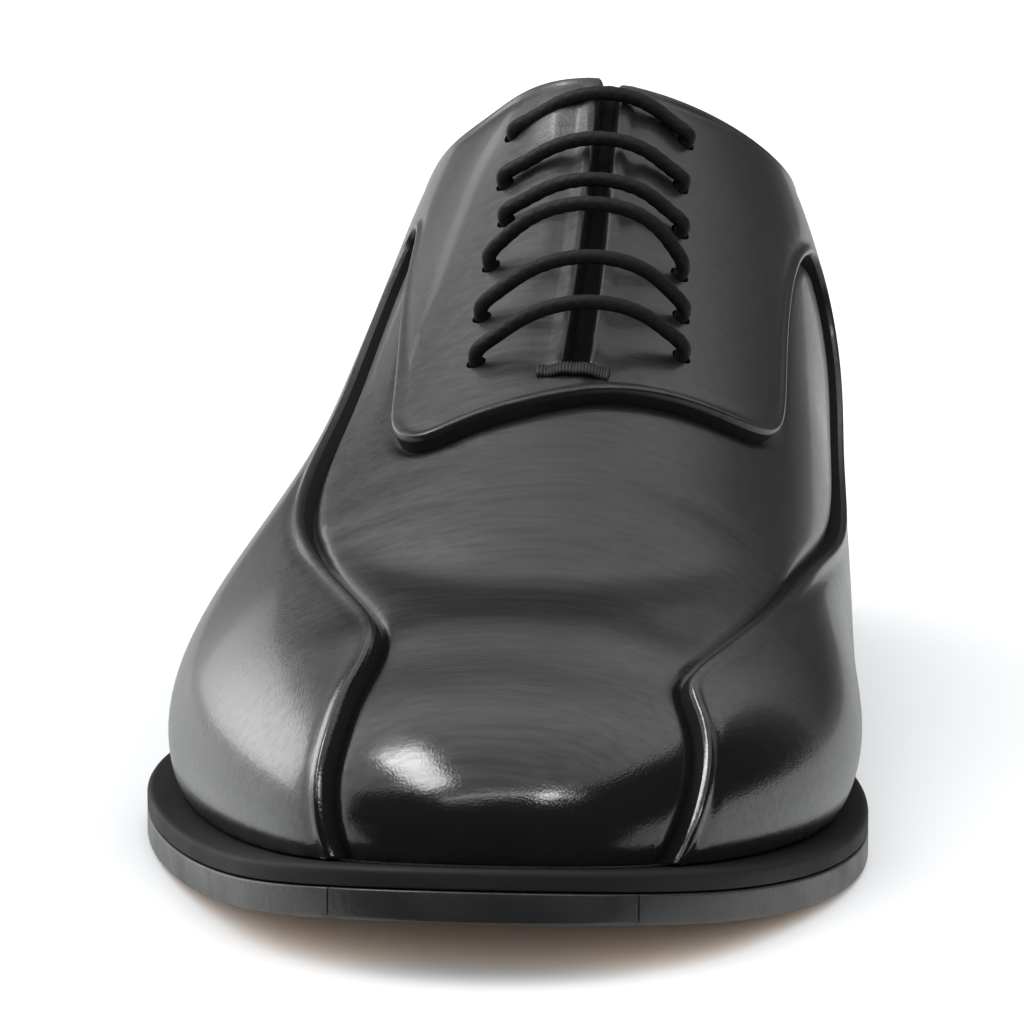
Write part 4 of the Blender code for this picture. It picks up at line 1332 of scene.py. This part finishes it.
def braided(path, radius):
    """Points and faces of a braided cord along a path, closed at both ends."""
    way = np.gradient(path, axis=0)
    way /= np.linalg.norm(way, axis=1, keepdims=True)
    gone = lengths(path)
    angle = np.arange(LACE_SIDES) * 2 * np.pi / LACE_SIDES
    upward = np.cross(way[0], (0.0, 1.0, 0.0))
    rings = []
    for point, ahead, run in zip(path, way, gone):
        upward = upward - ahead * (upward @ ahead)
        upward /= np.linalg.norm(upward)
        braid = np.cos(BRAID_STRANDS * angle) * np.cos(2 * np.pi * run / BRAID_PITCH)
        reach = radius * (1 + BRAID_RELIEF * braid)[:, None]
        ring = np.outer(np.cos(angle), upward) + np.outer(np.sin(angle), np.cross(ahead, upward))
        rings.append(point + reach * ring)
    faces = []
    for row in range(len(path) - 1):
        for k in range(LACE_SIDES):
            a, b = row * LACE_SIDES + k, row * LACE_SIDES + (k + 1) % LACE_SIDES
            faces.append((a, b, b + LACE_SIDES, a + LACE_SIDES))
    last = (len(path) - 1) * LACE_SIDES
    faces += [tuple(range(LACE_SIDES))[::-1], tuple(range(last, last + LACE_SIDES))]
    return np.concatenate(rings), faces


for row, (lateral_along, lateral_around, medial_along, medial_around, rise) in enumerate(EYELETS):
    along = np.interp(BAR_SHARES, (-1, 1), (lateral_along, medial_along))
    around = np.interp(BAR_SHARES, (-1, 0, 1), (-lateral_around, 0, medial_around))
    lift = OVERLAY_TOP + LACE / 2 + rise * (1 - BAR_SHARES**2)
    lift[[0, -1]] = -LACE_END
    lift[[1, -2]] = OVERLAY_TOP - LACE_END
    knots, _ = on_leather(flat(1, along, 1 - around), lift)
    length = lengths(knots)
    at = np.linspace(0, length[-1], LACE_POINTS)
    path = np.column_stack([spline(length, knots[:, k])(at) for k in range(3)])
    points, faces = braided(path, LACE / 2)
    bar = add_piece(f"lace_bar_{row + 1}_cord", points, faces, [cord])
    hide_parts(f"lace_bar_{row + 1}")

# Floor, light and camera
# A plain pale sweep in a white room with large soft lights. The camera looks from the front, a little down.
FLOOR_HALF, FLOOR_COLOUR, FLOOR_ROUGH = 9.0, (0.925, 0.94, 0.95), 0.8


def stage_piece(name, points, faces, paint, colour, rough):
    """Matt mesh that is no part of the shoe."""
    mesh = bpy.data.meshes.new(name)
    mesh.from_pydata(points, [], faces)
    material, tree, shader = blank_material(paint)
    feed(tree, shader, Base_Color=(*colour, 1), Roughness=rough, Specular_IOR_Level=0.0)
    mesh.materials.append(material)
    return linked(name, mesh)


def aim(thing, position, target):
    """Stands a lamp or the camera at a position, turned towards a target."""
    thing.location = position
    thing.rotation_euler = (Vector(target) - Vector(position)).to_track_quat("-Z", "Y").to_euler()


floor_corners = [(x * FLOOR_HALF, y * FLOOR_HALF, 0) for x, y in ((-1, -1), (1, -1), (1, 1), (-1, 1))]
floor = stage_piece("floor", floor_corners, [(0, 1, 2, 3)], "pale_floor", FLOOR_COLOUR, FLOOR_ROUGH)

# A white room with soft light from all round, dim only straight behind the shoe.
# How far towards the back the light starts and stops to fall off, and its strength before and after
ROOM_BACK, ROOM_LIGHT = (0.57, 0.84), (1.54, 0.08)
sky = bpy.data.worlds.new("studio")
sky.use_nodes = True
air = sky.node_tree
looking = node(air, "ShaderNodeSeparateXYZ", {0: node(air, "ShaderNodeTexCoord").outputs["Generated"]})
brightness = ranged(air, looking.outputs["Y"], ROOM_BACK, ROOM_LIGHT, interpolation_type="SMOOTHSTEP")
feed(air, air.nodes["Background"], Color=(1, 1, 1, 1), Strength=brightness)
bpy.context.scene.world = sky

# Soft boxes that only the leather's shine shows: name, position, point aimed at, width, depth, power
SOFT_BOXES = (
    ("toe_box", (-0.66, -0.16, 0.98), (0.0, -0.10, 0.02), 0.80, 0.36, 15.0),
    ("front_strip", (0.15, -0.80, 1.02), (0.0, -0.05, 0.05), 1.90, 0.07, 5.0),
    ("right_box", (0.62, -0.70, 0.95), (0.0, -0.10, 0.02), 0.25, 0.16, 2.5),
    ("left_panel", (-1.15, 0.95, 0.36), (-0.04, -0.08, 0.03), 0.80, 0.50, 3.6),
)
for name, position, target, width, depth, power in SOFT_BOXES:
    lamp = bpy.data.lights.new(name, "AREA")
    lamp.shape = "RECTANGLE"
    lamp.size, lamp.size_y, lamp.energy = width, depth, power
    box = linked(name, lamp)
    aim(box, position, target)
    box.visible_camera = box.visible_diffuse = False

# Black cards out of the picture that only the shine shows: one lies on the floor in front of the toe, the
# others stand round the left, the front and the right. Foot of each corner of the standing cards, from left
# to right, and its height.
SCREENS = (
    (-1.70, -0.05, 0.70),
    (-1.30, -1.30, 1.90),
    (1.30, -1.30, 1.90),
    (1.60, -0.35, 1.60),
    (1.70, 1.60, 1.30),
)
# Corners of the card on the floor, and the cards' colour and roughness
FLOOR_CARD = ((-2.2, -2.5, 0.002), (2.2, -2.5, 0.002), (0.9, -0.15, 0.002), (-0.9, -0.15, 0.002))
CARD_COLOUR, CARD_ROUGH = (0.01, 0.01, 0.01), 0.9
card_points = list(FLOOR_CARD)
card_faces = [(0, 1, 2, 3)]
for x, y, height in SCREENS:
    card_points += [(x, y, 0.0), (x, y, height)]
for k in range(4, len(card_points) - 2, 2):
    card_faces.append((k, k + 2, k + 3, k + 1))
cards = stage_piece("black_cards", card_points, card_faces, "black_card", CARD_COLOUR, CARD_ROUGH)
cards.visible_camera = cards.visible_diffuse = cards.visible_shadow = False

CAMERA_PLACE, CAMERA_AIM, CAMERA_LENS = (0.1094, -1.0613, 0.2131), (-0.0024, -0.0250, 0.0427), 250.0
lens = bpy.data.cameras.new("camera")
lens.lens = CAMERA_LENS
camera = linked("camera", lens)
aim(camera, CAMERA_PLACE, CAMERA_AIM)
bpy.context.scene.camera = camera
bpy.context.scene.view_settings.view_transform = "Standard"
